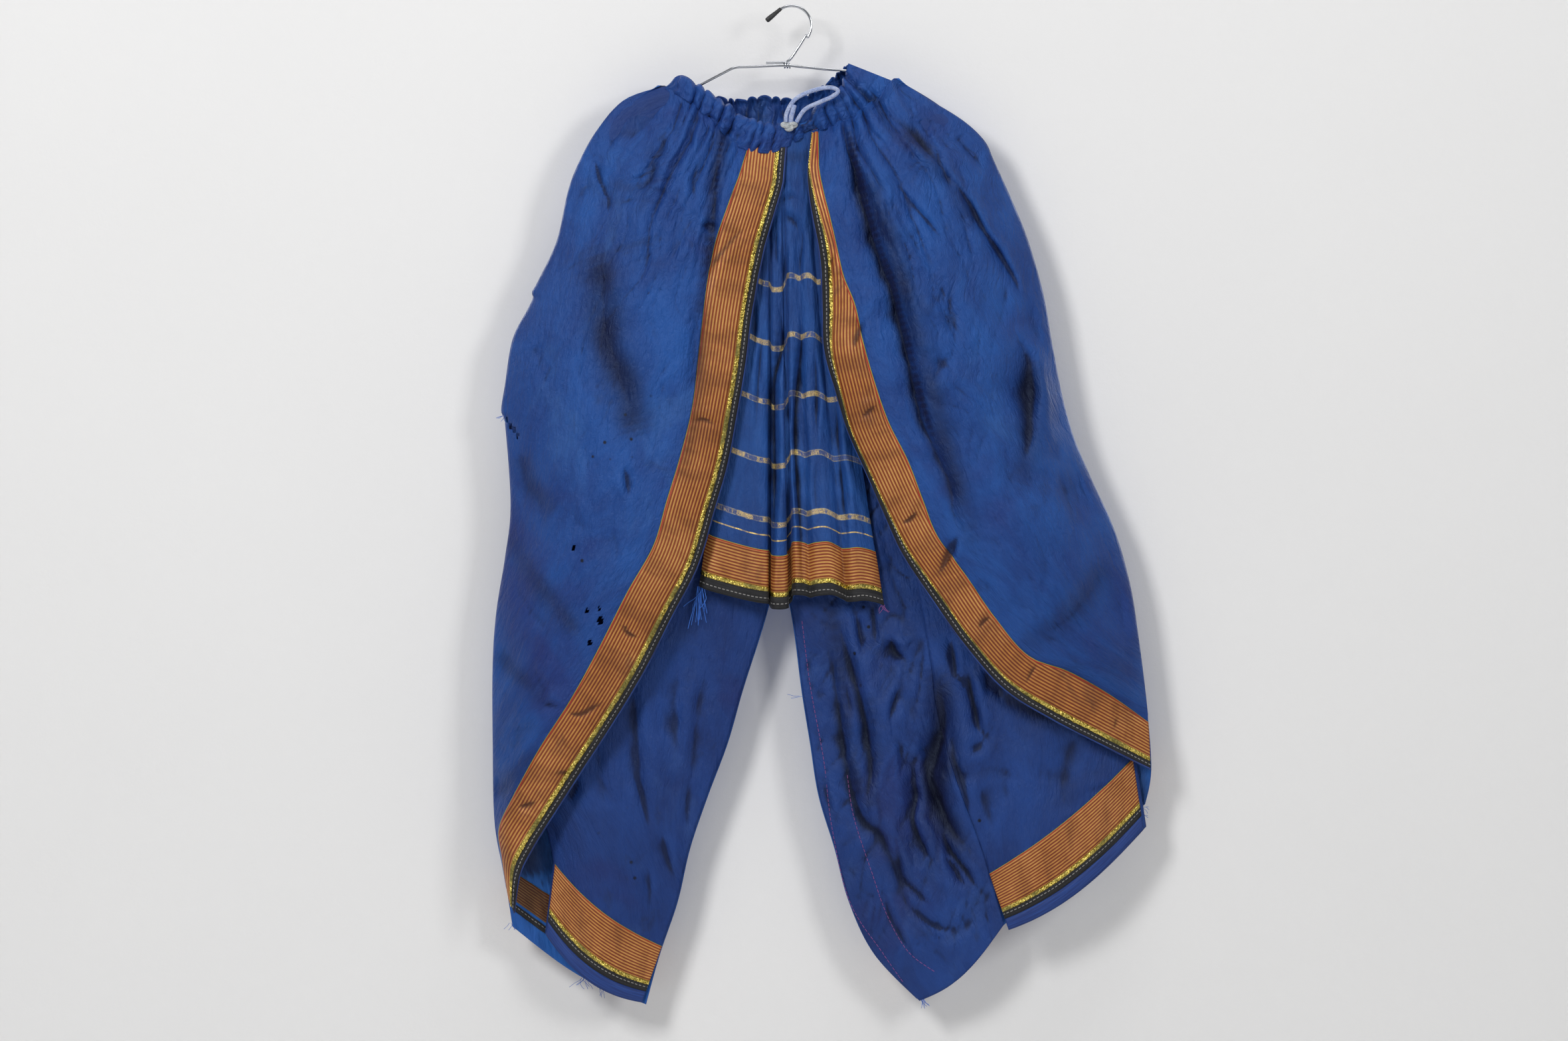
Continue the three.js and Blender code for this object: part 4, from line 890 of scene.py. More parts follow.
rightDrapeFolds = [
    (10, 25, -4, [(49, -98), (56, -130), (64, -162), (72, -195), (84, -240), (98, -281), (110, -318),
                  (119, -357), (128, -398), (137, -438), (152, -474), (166, -507), (170, -537), (181, -571),
                  (202, -606)]),
    (7, 17, 3, [(76, -103), (98, -116), (120, -131), (142, -155), (164, -180)]),
    (3.6, 9, 2, [(150, -165), (168, -185), (184, -206), (200, -235), (221, -266), (238, -297),
                 (243, -330)]),
    (11.5, 17, 3, [(232, -344), (242, -358), (249, -379), (249, -405), (249, -429), (248, -458),
                   (243, -482), (236, -500)]),
    (3, 6, 0, [(60, -116), (66, -128), (78, -137), (74, -146), (68, -158), (66, -172)]),
    (10, -6, 0, [(74, -112), (80, -122), (86, -134)]),
    (3.5, 6, 0, [(88, -104), (93, -109), (96, -119), (108, -130), (118, -140)]),
    (6.4, 3.8, 0, [(137, -300), (153, -316), (165, -339), (172, -364)]),
    (7.4, 4.9, 0, [(165, -368), (154, -388), (144, -408)]),
    (14.4, 4.2, 0, [(200, -492), (208, -522), (218, -552), (238, -594)]),
    (5.4, 3.5, 0, [(279, -494), (288, -519), (297, -545)]),
    (16, 7, 0, [(236, -667), (262, -660), (286, -648), (310, -622), (324, -600), (336, -574)]),
    (8, 5.6, 0, [(203, -602), (206, -624), (209, -645)]),
    (5.8, 3.5, 0, [(193, -602), (194, -626)]),
    (11.2, 2.8, 0, [(226, -620), (240, -632), (256, -640)]),
    (7, 4.5, 0, [(246, -296), (258, -337), (270, -367), (277, -388)]),
    (3.6, 4.5, 0, [(124, -118), (130, -134), (138, -144)]),
    (3.6, 4.5, 0, [(140, -120), (143, -140), (151, -158)]),
    (4.4, 6, 0, [(153, -150), (157, -168), (166, -190), (172, -206)]),
    (6, 5, 0, [(172, -140), (190, -158), (206, -178)]),
    (5, 5, 0, [(166, -200), (180, -226), (186, -252), (196, -280)]),
    (4, 4.5, 0, [(110, -190), (128, -214), (148, -236), (166, -262)]),
    (3.6, 4, 0, [(96, -200), (112, -228), (128, -254), (140, -280)]),
    (8, 3.1, 0, [(232, -290), (222, -318), (226, -348)]),
    (8, 3.1, 0, [(242, -480), (252, -500), (262, -508)]),
    (9.6, 3.5, 0, [(216, -452), (224, -480), (228, -512), (224, -540)]),
    (11.2, -3.5, 0, [(258, -360), (264, -410), (272, -460), (284, -500)]),
    (9.6, 3.5, 0, [(292, -470), (304, -505), (316, -540), (322, -570)]),
    (8, 2.8, 0, [(258, -560), (266, -590), (262, -614)]),
    (16, 4.2, 0, [(352, -600), (350, -640), (356, -690)]),
    (11.2, -2.8, 0, [(190, -380), (196, -420), (192, -460)]),
]
rightBorderFolds = [
    (4.0, 6, 2.0, [(176, -556), (168, -572), (160, -590), (152, -604)]),
    (3.2, 4.4, 0, [(134, -530), (124, -540), (112, -548)]),
    (3.2, 3.9, 0, [(212, -644), (202, -650), (196, -662)]),
    (3.2, 3.1, 0, [(260, -690), (252, -704), (244, -722)]),
    (2.7, 2.9, 0, [(344, -742), (340, -756), (332, -772)]),
    (3.2, 3.9, 0, [(46, -262), (40, -280), (38, -296)]),
    (4.3, 3.9, 0, [(78, -330), (70, -350), (64, -372)]),
    (3.2, 3.4, 0, [(92, -420), (80, -428), (70, -440)]),
]
rightDrapeShades = [
    (5.5, 1.2, [(56, -116), (62, -145), (70, -180), (80, -218), (92, -256), (104, -290), (114, -326),
                (124, -366), (134, -410), (146, -450), (162, -490)]),
    (15, 0.8, [(66, -150), (82, -200), (100, -250), (114, -290), (126, -340), (140, -388), (152, -430),
               (165, -480), (178, -530), (198, -596)]),
    (17, 0.6, [(246, -366), (256, -400), (254, -440), (248, -480), (236, -520)]),
    (16, 0.5, [(232, -672), (262, -664), (290, -646), (316, -614), (334, -580)]),
    (13, 0.6, [(108, -128), (140, -158), (170, -196), (196, -240)]),
    (9, 0.35, [(284, -490), (292, -520), (300, -552)]),
    (16, 0.3, [(366, -660), (352, -700), (330, -716)]),
]
rightBandShades = [(6, 0.5, [(170, -552), (164, -578), (152, -604)]),
                   (5, 0.45, [(84, -400), (78, -424), (86, -448)])]
borderTrims = [                              # columns, and how far a trim reaches past its lane's two ends
    ("piping", "blue_piping", pipingCloth, 4, 0, 0.5),
    ("binding", "black_binding", bindingCloth, 5, 0.3, 0.3),
    ("gold_line", "gold_foil", foil, 5, 0, 0.3),
    ("band", "copper_border", copper, 12, 0, 0),
]


def drapePoints(table, seam, folds, borderFolds, shades):
    gatherSeed = table["seed"] + 3
    t = np.linspace(0, 1, table["rows"])[:, None]
    inBand, past = np.linspace(0, 1, table["borderColumns"] + 1), np.linspace(0, 1, table["bodyColumns"] + 1)
    share = np.concatenate([inBand, 1 + past[1:]])[None, :]
    first = 1 / (len(table["edgeX"]) - 1)    # the first section below the casing
    low = np.maximum(t, first)

    def form(at):
        keys = ("edgeX", "edgeZ", "bandX", "bandZ", "seamZ", "depth", "belly")
        edgeX, edgeZ, bandX, bandZ, seamZ, depth, belly = (smoothAt(table[key], at) for key in keys)
        sideX = seam.soft(seamZ)
        inBorder, inBody = np.clip(share, 0, 1), np.clip(share - 1, 0, 1)
        x = edgeX + (bandX - edgeX) * inBorder + (sideX - bandX) * inBody
        x = x + (seam.at(seamZ) - sideX) * inBody ** 12      # a nick stays at the seam
        z = edgeZ + (bandZ - edgeZ) * inBorder + (seamZ - bandZ) * inBody
        border = np.hypot(bandX - edgeX, bandZ - edgeZ)
        body = np.hypot(sideX - bandX, seamZ - bandZ)
        s = (inBorder * border + inBody * body) / (border + body)
        base = depth + (seamDepth(z) - layerGap - depth) * s ** 2
        return x, base - belly * np.sin(math.pi * s) ** 0.8, z, s

    x, y, z, s = form(low)
    topX, _, _, _ = form(np.zeros_like(t))
    hangY, hangZ = underCasing(frontCasing, topX)
    f = eased(t / first) * 0.35 + 0.65 * np.clip(t / first, 0, 1)
    x, y, z = topX + (x - topX) * f, hangY + 1.0 + (y - hangY - 1.0) * f, hangZ + (z - hangZ) * f
    u, v = walkedLengths(np.stack([x, y, z], -1))
    hold = eased(7 * t) * eased(12 * (1 - s)) * eased(14 * (1 - t))   # calm at the seams
    push, slide, foldShade = foldField(x, z, folds)
    edgePush, edgeSlide, edgeFoldShade = foldField(x, z, borderFolds, 9)
    walk = footWalk(frontCasing, topX)
    drift = 0.12 * v * latticeNoise(topX / 22, v / 60, gatherSeed)
    ruffle = gathers(walk + drift, frontCasing["seed"], frontCasing["pitch"])
    inBody = eased(2.2 * (share - 0.95))
    y = y + hold * (push * (0.35 + 0.65 * inBody) + edgePush)
    x = x + hold * (slide * inBody + edgeSlide)
    wide = gathers(walk + 0.08 * v * latticeNoise(topX / 30, v / 70, gatherSeed + 3), gatherSeed + 5, 25)
    narrow = gathers(walk + 0.16 * v * latticeNoise(topX / 12, v / 34, gatherSeed + 6), gatherSeed + 8, 8)
    off = eased(10 * (1 - s)) * (0.2 + 0.8 * inBody)
    puffs = (frontCasing["gather"] * np.exp(-v / 60) * ruffle + 6.4 * np.exp(-v / 170) * eased(v / 14) * wide
             + 1.3 * np.exp(-v / 75) * eased(v / 8) * narrow)
    y = y - off * puffs
    crushed = 0.4 + 1.0 * np.exp(-(v / 210) ** 2)
    crushed = crushed + 0.6 * eased(1.4 * latticeNoise(x / 90, z / 120, table["seed"] + 70))
    rough, lines = crumple(u, v, table["turn"], table["seed"], crushed)
    y = y + hold * rough * (0.35 + 0.65 * inBody)
    # painted shade: gather valleys under the casing, fold troughs on the band, and crumple creases
    gatherDark = off * (0.55 * np.exp(-v / 80) * eased(-1.6 * ruffle - 0.25)
                        + 0.42 * np.exp(-v / 190) * eased(-1.5 * wide - 0.45))
    onBand = np.clip(np.where(share > 1, 0.7, 5) * edgeFoldShade, 0, 0.8)
    dark = np.maximum(np.maximum(hold * foldShade * (0.4 + 0.6 * inBody), onBand), gatherDark)
    dark = np.maximum(dark, 0.34 * hold * inBody * np.clip(lines, 0, 1))
    # painted shade from the shade tables
    dim = np.where(share > 1, shadeField(x, z, shades[0]), shadeField(x, z, shades[1]))
    return np.stack([x, y, z], -1), dark, eased(14 * (1 - t)) * dim


def borderWidths(table, t):                  # where the trims begin and end, mm from the drape's edge
    edge = np.stack([smoothAt(table["edgeX"], t), smoothAt(table["edgeZ"], t)], -1)
    band = np.stack([smoothAt(table["bandX"], t), smoothAt(table["bandZ"], t)], -1)
    width = np.linalg.norm(band - edge, axis=-1)
    black, gold = smoothAt(table["black"], t), smoothAt(table["gold"], t)
    piping = np.minimum(2.4, 0.25 * black)
    black = np.minimum(black, 0.5 * width)
    return np.stack([0 * width, piping, black, black + gold, width], -1), width


def borderTrim(side, sheet, tones, table, k):
    part, slot, material, columns, under, over = borderTrims[k]
    lanes, width = borderWidths(table, np.linspace(0, 1, len(sheet)))
    start, stop = lanes[:, k:k + 1] - under, lanes[:, k + 1:k + 2] + over
    across = np.linspace(0, 1, columns)[None, :]
    walk = start + (stop - start) * across
    share = np.clip(walk / width[:, None], 0, 1.0)
    row = np.broadcast_to(np.arange(len(sheet), dtype=float)[:, None], share.shape)
    column = share * table["borderColumns"]
    lift = {
        "piping": 0.6 + 1.2 * np.sin(math.pi * across),      # a little rolled cord of cloth
        "binding": 1.5 + 0 * across,
        "gold_line": 1.0 + 0.55 * latticeNoise(row / 1.6, across * 3, 71) + 0.3 * np.sin(math.pi * across),
        "band": 0.8 + 0 * across,
    }[part]
    points = gridAt(sheet, row, column) + gridAt(gridNormals(sheet, -1), row, column) * lift[..., None]
    _, v = walkedLengths(points)
    u = walk - lanes[:, 3:4] if part == "band" else walk
    foldShade, dim = (gridAt(tone[..., None], row, column)[..., 0] for tone in tones)
    extra = {"foldShade": foldShade, "dim": dim, "outer": lanes[:, 4:5] - walk}
    piece = clothPiece(f"{side}Drape_{part}", points, -1, [material], trimWall, (u, v), extra)
    stand(piece, slot, f"drape_{side}_{part}")
    return piece


def declareSheet(piece, points):
    across = np.linalg.norm(np.diff(points, axis=1), axis=2).sum(1)
    down = np.linalg.norm(np.diff(points, axis=0), axis=2).sum(0)
    a, b = points[:-1, :-1], points[1:, 1:]
    c, d = points[:-1, 1:], points[1:, :-1]
    area = 0.5 * np.linalg.norm(np.cross(b - a, d - c), axis=2).sum() * mm * mm
    width, length = float(across.max()) * mm, float(down.max()) * mm
    area = max(area, 0.3 * width * length)
    print(piece.name, "flat", round(width, 3), "x", round(length, 3), "area", round(area, 4))


def makeDrape(side, table, seam, folds, borderFolds, shades, holes):
    sheet, dark, dim = drapePoints(table, seam, folds, borderFolds, shades)
    tones = {"foldShade": dark, "dim": dim}
    drape = clothPiece(side + "DrapeCloth", sheet, -1, [silkDrape, silkInside], extra=tones, holes=holes)
    stand(drape, "blue_silk", f"drape_{side}")
    trims = [borderTrim(side, sheet, (dark, dim), table, k) for k in range(len(borderTrims))]
    declareSheet(drape, sheet)
    return sheet


leftHoles = [(-199.6, -648.5, 3.2), (-214, -638, 1.9), (-201, -636, 1.8), (-211, -671, 2.2),
             (-228, -572, 1.8), (-301, -438, 2.2), (-297, -443, 2.4), (-293, -448, 2.0), (-289, -454, 1.7)]
leftSheet = makeDrape("left", leftDrape, leftSeam, leftDrapeFolds, leftBorderFolds,
                      (leftDrapeShades, leftBandShades), leftHoles)
makeDrape("right", rightDrape, rightSeam, rightDrapeFolds, rightBorderFolds,
          (rightDrapeShades, rightBandShades), [])
print("drapes made")


# ---- the trouser legs under the drapes ----

leftFront = {
    "outerZ": [-86.5, -131, -220, -330, -450, -570, -680, -780, -855, -905],
    "innerZ": [-153, -200, -300, -410, -520, -628, -740, -860, -945, -994],
    "innerY": [-18, -10, -6, -4, -2, -1, 0, 0, 0, 0],
    "swell": [6, 12, 13, 14, 15, 15, 15, 15, 15, 15],
    "curve": [0.5, 0.45, 0.6, 0.9, 0.9, 0.9, 0.9, 0.9, 0.9, 0.9],
    "sag": [0, 0, 0, 0, 0, 0, 0, 0, 2, 4],
    "columns": 70, "rows": 210, "outerInset": 3, "innerInset": -0.4, "seed": 41, "turn": 4,
    "crumple": 0.8, "crushed": 0.35, "border": (-0.12, -0.28), "swing": (-780, -880, 52),
}
rightFront = {
    "outerZ": [-79.5, -101, -121, -220, -330, -450, -560, -650, -730, -792],
    "innerZ": [-128, -150, -190, -290, -400, -520, -625, -742, -840, -916],
    "innerY": [-18, -16, -15, -14, -14, -15, -16, -16, -16, -16],
    "swell": [6, 6, 12, 12, 9, 10, 11, 12, 12, 12],
    "curve": [0.5, 0.6, 0.45, 0.6, 0.9, 0.9, 0.9, 0.9, 0.9, 0.9],
    "sag": [0, 0, 0, 0, 0, 0, 0, 0, 4, 6],
    "columns": 64, "rows": 190, "outerInset": -0.6, "innerInset": 0.6, "seed": 44, "turn": 30,
    "crumple": 0.8, "crushed": 0.6, "border": (0.15, 0.27), "swing": (-740, -800, -16), "freeSeam": "inner",
}
rightGore = {
    "outerZ": [-128, -150, -190, -290, -400, -520, -625, -742, -830, -895, -942, -970],
    "innerZ": [-153, -180, -210, -310, -420, -530, -630, -760, -870, -955, -1010, -1052],
    "innerY": [-18, -14, -10, -6, -4, -2, -1, 0, 0, 0, 0, 0],
    "swell": [0, 0, 1, 2, 2, 2, 3, 9, 10, 9, 7, 5],
    "curve": [0.9] * 12,
    "sag": [0] * 10 + [8, 14],
    "columns": 60, "rows": 300, "outerInset": 2.2, "innerInset": 0.4, "seed": 47,
    "turn": -6, "crumple": 1.2, "crushed": 1.5, "outerY": -14.4, "freeSeam": "outer",
}
leftBack = {
    "outerZ": [-86.5, -131, -220, -330, -450, -570, -680, -780, -880, -974],
    "innerZ": [-128, -190, -290, -400, -510, -628, -740, -860, -960, -1056],
    "innerY": [17, 16, 14, 11, 8, 4, 2.2, 2.2, 2.2, 2.2],
    "swell": [6, 10, 11, 13, 15, 16, 16, 15, 13, 11],
    "curve": [0.5, 0.45, 0.6, 0.6, 0.6, 0.6, 0.6, 0.6, 0.6, 0.6],
    "sag": [0, 0, 0, 0, 0, 0, 0, 0, 0, 12],
    "columns": 70, "rows": 230, "outerInset": 0, "innerInset": 0.5, "seed": 51,
    "turn": 10, "crumple": 1.3, "crushed": 0.9, "darkness": 0.15,
}
rightBack = {
    "outerZ": [-79.5, -121, -220, -330, -450, -560, -650, -730, -790, -844],
    "innerZ": [-128, -190, -290, -400, -510, -628, -740, -860, -960, -1050],
    "innerY": [17, 16, 14, 11, 8, 4, 2.2, 2.2, 2.2, 2.2],
    "swell": [6, 10, 11, 13, 15, 16, 16, 15, 13, 10],
    "curve": [0.5, 0.45, 0.6, 0.6, 0.6, 0.6, 0.6, 0.6, 0.6, 0.6],
    "sag": [0, 0, 0, 0, 0, 0, 0, 0, 0, 2],
    "columns": 80, "rows": 230, "outerInset": 0, "innerInset": -0.5, "seed": 54,
    "turn": -12, "crumple": 1.3, "crushed": 0.9, "darkness": 0.15,
}
leftFrontFolds = [
    (8.4, 6.1, 0, [(-168, -700), (-166, -735), (-163, -793), (-157, -868)]),
    (4.8, 5.2, 0, [(-167, -806), (-158, -838), (-150, -876)]),
    (4.8, 5.2, 0, [(-138, -868), (-131, -900), (-120, -930)]),
    (10.8, 4.4, 0, [(-118, -690), (-124, -740), (-118, -800)]),
    (6, 4.4, 0, [(-88, -690), (-98, -730), (-104, -780), (-108, -830)]),
    (8.4, 3.5, 0, [(-206, -770), (-200, -820), (-196, -858)]),
    (4.8, 3.5, 0, [(-222, -812), (-230, -832), (-234, -848)]),
    (4.2, 3.5, 0, [(-108, -812), (-112, -850), (-110, -880)]),
    (3.6, 2.6, 0, [(-152, -905), (-150, -935), (-151, -968)]),
]
# the deepest fold lies on the seam of the gore and the leg's front
seamFold = [(143, -692), (152, -714), (159, -735), (161, -762), (155, -787), (148, -811), (155, -835),
            (167, -866), (186, -893), (204, -921)]
besideSeamFold = [(172, -750), (169, -774), (172, -799), (183, -832), (190, -866)]
rightFrontFolds = [
    (12, 20, 0, seamFold),
    (4, 9, 0, besideSeamFold),
    (3.8, 9, 0, [(166, -662), (171, -683), (174, -705), (183, -715), (172, -723)]),
    (4.2, 13, 0, [(183, -689), (189, -720), (195, -744), (200, -764), (214, -776)]),
    (5, 8, 0, [(183, -787), (197, -785), (205, -771)]),
    (13, 7, 0, [(198, -708), (231, -729), (262, -746), (295, -767)]),
    (15, 7, 0, [(306, -761), (296, -787), (289, -811), (288, -835), (301, -852)]),
    (3.8, 6, 0, [(205, -696), (207, -726)]),
    (3.8, 6, 0, [(219, -708), (222, -732)]),
    (10.3, 2.4, 0, [(230, -790), (226, -826), (236, -850)]),
    (5.2, 2.4, 0, [(196, -812), (204, -846), (216, -876)]),
    (9, 2.4, 0, [(330, -780), (322, -810), (318, -836)]),
]
goreFolds = [
    (12, 20, 0, seamFold),
    (4, 9, 0, besideSeamFold),
    (7, 10, 0, [(31, -625), (38, -668), (46, -714), (52, -756), (56, -787), (64, -829), (76, -860),
                (94, -875), (104, -896), (116, -927), (125, -957), (143, -984), (161, -1000)]),
    (7.5, 11, 0, [(46, -625), (52, -659), (64, -701), (73, -735), (79, -762), (84, -805), (81, -835),
                  (83, -860), (90, -884)]),
    (3.5, 7, 0, [(64, -628), (72, -668), (74, -695)]),
    (3, 6, 0, [(85, -625), (89, -662), (91, -686)]),
    (6, 11, 0, [(104, -665), (111, -683), (125, -690)]),
    (3.4, 6, 0, [(116, -714), (107, -738), (101, -762)]),
    (5.5, 11, 0, [(135, -781), (129, -811), (132, -835), (129, -860), (138, -884), (153, -908),
                  (169, -928)]),
    (3.4, 8, 0, [(107, -866), (113, -896), (119, -921), (137, -939), (156, -959)]),
    (4, 7, 0, [(119, -942), (137, -964), (161, -976), (187, -969)]),
    (4.4, 11, 0, [(155, -863), (167, -890), (187, -916), (199, -939)]),
    (3, 8, 0, [(159, -896), (172, -910), (186, -934)]),
    (3.4, 6, 0, [(143, -969), (156, -985), (180, -979), (199, -958)]),
    (3, 5, 0, [(34, -805), (38, -835), (49, -866)]),
    (3, 6, 0, [(55, -708), (61, -732), (66, -762)]),
    (3, 5, 0, [(110, -770), (116, -796), (112, -820)]),
    (3, 5, 0, [(96, -924), (104, -958), (122, -992), (138, -1018)]),
]
leftBackFolds = [
    (9, 9, 0, [(-62, -150), (-66, -230), (-76, -320), (-80, -410), (-92, -500), (-98, -590)]),
    (8, 8, 0, [(-112, -128), (-126, -200), (-142, -280), (-152, -370), (-160, -460), (-158, -540)]),
    (7, 8, 0, [(-150, -122), (-180, -180), (-204, -250), (-218, -330), (-226, -420), (-240, -500)]),
    (5, 6, 0, [(-90, -140), (-98, -200), (-104, -270), (-112, -340)]),
    (11, 7, 0, [(-262, -360), (-256, -450), (-262, -540), (-252, -620), (-246, -700)]),
    (14, 7, 0, [(-196, -430), (-190, -520), (-198, -610), (-190, -700), (-196, -780), (-190, -860)]),
    (10, 6, 0, [(-52, -380), (-58, -470), (-54, -550), (-66, -640), (-86, -720), (-100, -800)]),
    (9, 6, 0, [(-130, -560), (-138, -650), (-134, -740), (-146, -830), (-150, -910)]),
    (9, 6, 0, [(-286, -600), (-276, -690), (-280, -780), (-270, -860)]),
    (8, 5, 0, [(-232, -700), (-226, -790), (-232, -870), (-226, -940)]),
    (7, 5, 0, [(-176, -820), (-184, -900), (-178, -980)]),
    (5, 4, 0, [(-250, -640), (-232, -668), (-208, -684)]),
    (5, 4, 0, [(-120, -300), (-138, -334), (-160, -350)]),
]
rightBackFolds = [
    (9, 9, 0, [(46, -140), (58, -220), (66, -310), (78, -400), (82, -490), (92, -570)]),
    (8, 8, 0, [(88, -118), (116, -190), (134, -270), (146, -360), (150, -450), (160, -540)]),
    (7, 8, 0, [(120, -112), (156, -170), (184, -240), (200, -320), (214, -410), (226, -490)]),
    (5, 6, 0, [(16, -150), (22, -220), (16, -290), (24, -360)]),
    (11, 7, 0, [(258, -400), (252, -490), (264, -580), (260, -660), (272, -740)]),
    (14, 7, 0, [(120, -430), (114, -520), (126, -610), (122, -700), (134, -790), (140, -870)]),
    (10, 6, 0, [(28, -420), (36, -510), (30, -600), (44, -690), (54, -780), (68, -860)]),
    (9, 6, 0, [(196, -540), (204, -640), (198, -730), (210, -820), (206, -900)]),
    (9, 6, 0, [(320, -560), (314, -650), (326, -730), (318, -800)]),
    (8, 5, 0, [(94, -720), (100, -800), (96, -880), (108, -960)]),
    (7, 5, 0, [(166, -860), (172, -920), (164, -980)]),
    (5, 4, 0, [(190, -330), (214, -352), (238, -360)]),
    (5, 4, 0, [(288, -640), (304, -664), (326, -672)]),
]
goreShades = [
    (17, 0.85, [(148, -690), (158, -735), (161, -790), (153, -830), (166, -872), (188, -908)]),
    (10, 0.7, [(38, -612), (48, -680), (56, -740), (63, -800), (80, -850)]),
    (10, 0.6, [(82, -720), (86, -790), (84, -855)]),
    (7, 0.4, [(96, -876), (110, -920), (128, -960), (150, -990)]),
    (12, 0.4, [(110, -610), (120, -650), (138, -690)]),
]
rightFrontShades = [goreShades[0], (12, 0.5, [(190, -690), (222, -728), (262, -752), (306, -774)]),
                    (13, 0.4, [(306, -764), (297, -790), (290, -820), (296, -850)]),
                    (6, 0.4, [(186, -700), (194, -736), (206, -770)])]
leftFrontShades = [(10, 0.35, [(-168, -700), (-166, -750), (-162, -800), (-156, -868)]),
                   (9, 0.3, [(-104, -640), (-108, -700), (-112, -770)])]
leftWithin = [(24, 1.0, [(-290, -830), (-280, -880), (-270, -925)])]       # painted shade on the cloth's inner face
rightWithin = [(12, 0.8, [(366, -796), (370, -830), (366, -858)])]
legBorder = {
    "parts": [("band", 47, "copper_border"), ("gold_line", 4.5, "gold_foil"), ("binding", 9, "black_binding"),
              ("facing", 15, "blue_facing")],
    "rows": 31, "narrowing": 0.21, "firstColumn": 1.5, "leastRows": 4, "density": 1.4, "crinkle": (1.4, 77),
}
trimLooks = {                                # material, and how far it stands off its sheet
    "band": (copper, 0.8), "gold_line": (foil, 1.1), "binding": (bindingCloth, 1.0),
    "facing": (facingCloth, 0.7),
}


def borderHeight(border):
    return sum(height for _, height, _ in border["parts"])


def legPoints(table, outer, inner, side, casing, folds, shades):
    rows, columns = table["rows"], table["columns"]
    layer = layerGap if side < 0 else 0
    s = np.linspace(0, 1, columns + 1)[None, :]
    heights = np.array(table["outerZ"], float)
    outerZ = np.linspace(heights[0], heights[-1], rows)
    t = (np.interp(-outerZ, -heights, np.arange(len(heights))) / (len(heights) - 1))[:, None]
    at = {key: smoothAt(table[key], t) for key in ("outerZ", "innerZ", "innerY", "swell", "curve", "sag")}
    x0 = outer.at(at["outerZ"]) + table["outerInset"]
    x1 = inner.at(at["innerZ"]) + table["innerInset"]
    x = x0 + (x1 - x0) * s
    y0 = table.get("outerY", seamDepth(at["outerZ"]) + (layerGap if side > 0 else 0))
    arch = np.maximum(np.sin(math.pi * s), 0) ** at["curve"]
    y = y0 + (at["innerY"] - y0) * s + side * at["swell"] * arch
    z = at["outerZ"] + (at["innerZ"] - at["outerZ"]) * s - at["sag"] * np.sin(math.pi * s)
    hangY, hangZ = underCasing(casing, x[0])
    near = eased((heights[0] - outerZ) / 38)[:, None]
    y = hangY[None, :] + layer + (y - hangY[None, :] - layer) * near
    z = z + (hangZ - z[0])[None, :] * (1 - near)
    if "border" in table:                    # the hem border hangs below the last section
        drop = np.linspace(0, borderHeight(legBorder), legBorder["rows"])[1:, None]
        drift = table["border"][0] + (table["border"][1] - table["border"][0]) * s
        x = np.concatenate([x, x[-1:] + drift * drop])
        y = np.concatenate([y, y[-1:] + 0 * drop])
        z = np.concatenate([z, z[-1:] - drop * (1 - legBorder["narrowing"] * s ** 3)])
    if "swing" in table:                     # the hem's outer corner hangs to one side
        begin, end, shift = table["swing"]
        x = x + shift * eased((begin - z) / (begin - end)) * (1 - s) ** 1.6
    u, v = walkedLengths(np.stack([x, y, z], -1))
    down = np.linspace(0, 1, len(x))[:, None]
    rim = eased(9 * down) * (0.4 + 0.6 * eased(20 * (1 - down)))
    hold = rim * eased(12 * s) * eased(12 * (1 - s))
    free = table.get("freeSeam")             # two sheets share the folds along this seam
    foldHold = rim * (1 if free == "outer" else eased(12 * s))
    foldHold = foldHold * (1 if free == "inner" else eased(12 * (1 - s)))
    push, _, foldShade = foldField(x, z, folds)
    drift = 0.1 * v * latticeNoise(x / 24, v / 60, table["seed"])
    ruffle = gathers(footWalk(casing, x[0:1]) + drift, casing["seed"], casing["pitch"])
    off = eased(10 * s) * eased(10 * (1 - s))
    y = y - side * foldHold * push + side * 3.0 * np.exp(-v / 55) * ruffle * off
    rough, lines = crumple(u, v, table["turn"], table["seed"], table["crushed"])
    y = y - side * table["crumple"] * hold * rough
    # painted shade in the gather valleys, fold troughs and crumple creases, and from the shade tables
    gatherDark = 0.5 * off * np.exp(-v / 70) * eased(-1.6 * ruffle - 0.25)
    dark = np.maximum(table.get("darkness", 1) * foldHold * foldShade, gatherDark)
    dark = np.maximum(dark, 0.3 * hold * np.clip(lines, 0, 1))
    return np.stack([x, y, z], -1), dark, shadeField(x, z, shades)


def hemTrims(names, nodes, sheet, border, rowAt):            # the border's strips, from its top down
    normals = gridNormals(sheet, -1)
    trims, start = [], 0.0
    for part, height, slot in border["parts"]:
        material, lift = trimLooks[part]
        walk = np.linspace(start, start + height, max(border["leastRows"], int(height / 3.4)))[:, None]
        columns = sheet.shape[1]
        column = np.linspace(border["firstColumn"], columns - 1, int(border["density"] * columns))
        row = rowAt(walk, column)
        column = np.broadcast_to(column[None, :], row.shape)
        if part == "gold_line":              # the foil is crinkled
            size, seed = border["crinkle"]
            lift = lift + 0.5 * latticeNoise(column / size, row * 2.2, seed)[..., None]
        points = gridAt(sheet, row, column) + gridAt(normals, row, column) * lift
        across, _ = walkedLengths(points)
        down = np.broadcast_to(walk - start, across.shape)
        extra = {"outer": down} if part == "band" else None     # the band's plain edge is its top
        uv = (height - down, across)
        piece = clothPiece(names.format(part), points, -1, [material], trimWall, uv, extra)
        stand(piece, slot, nodes.format(part))
        trims.append(piece)
        start += height
    return trims


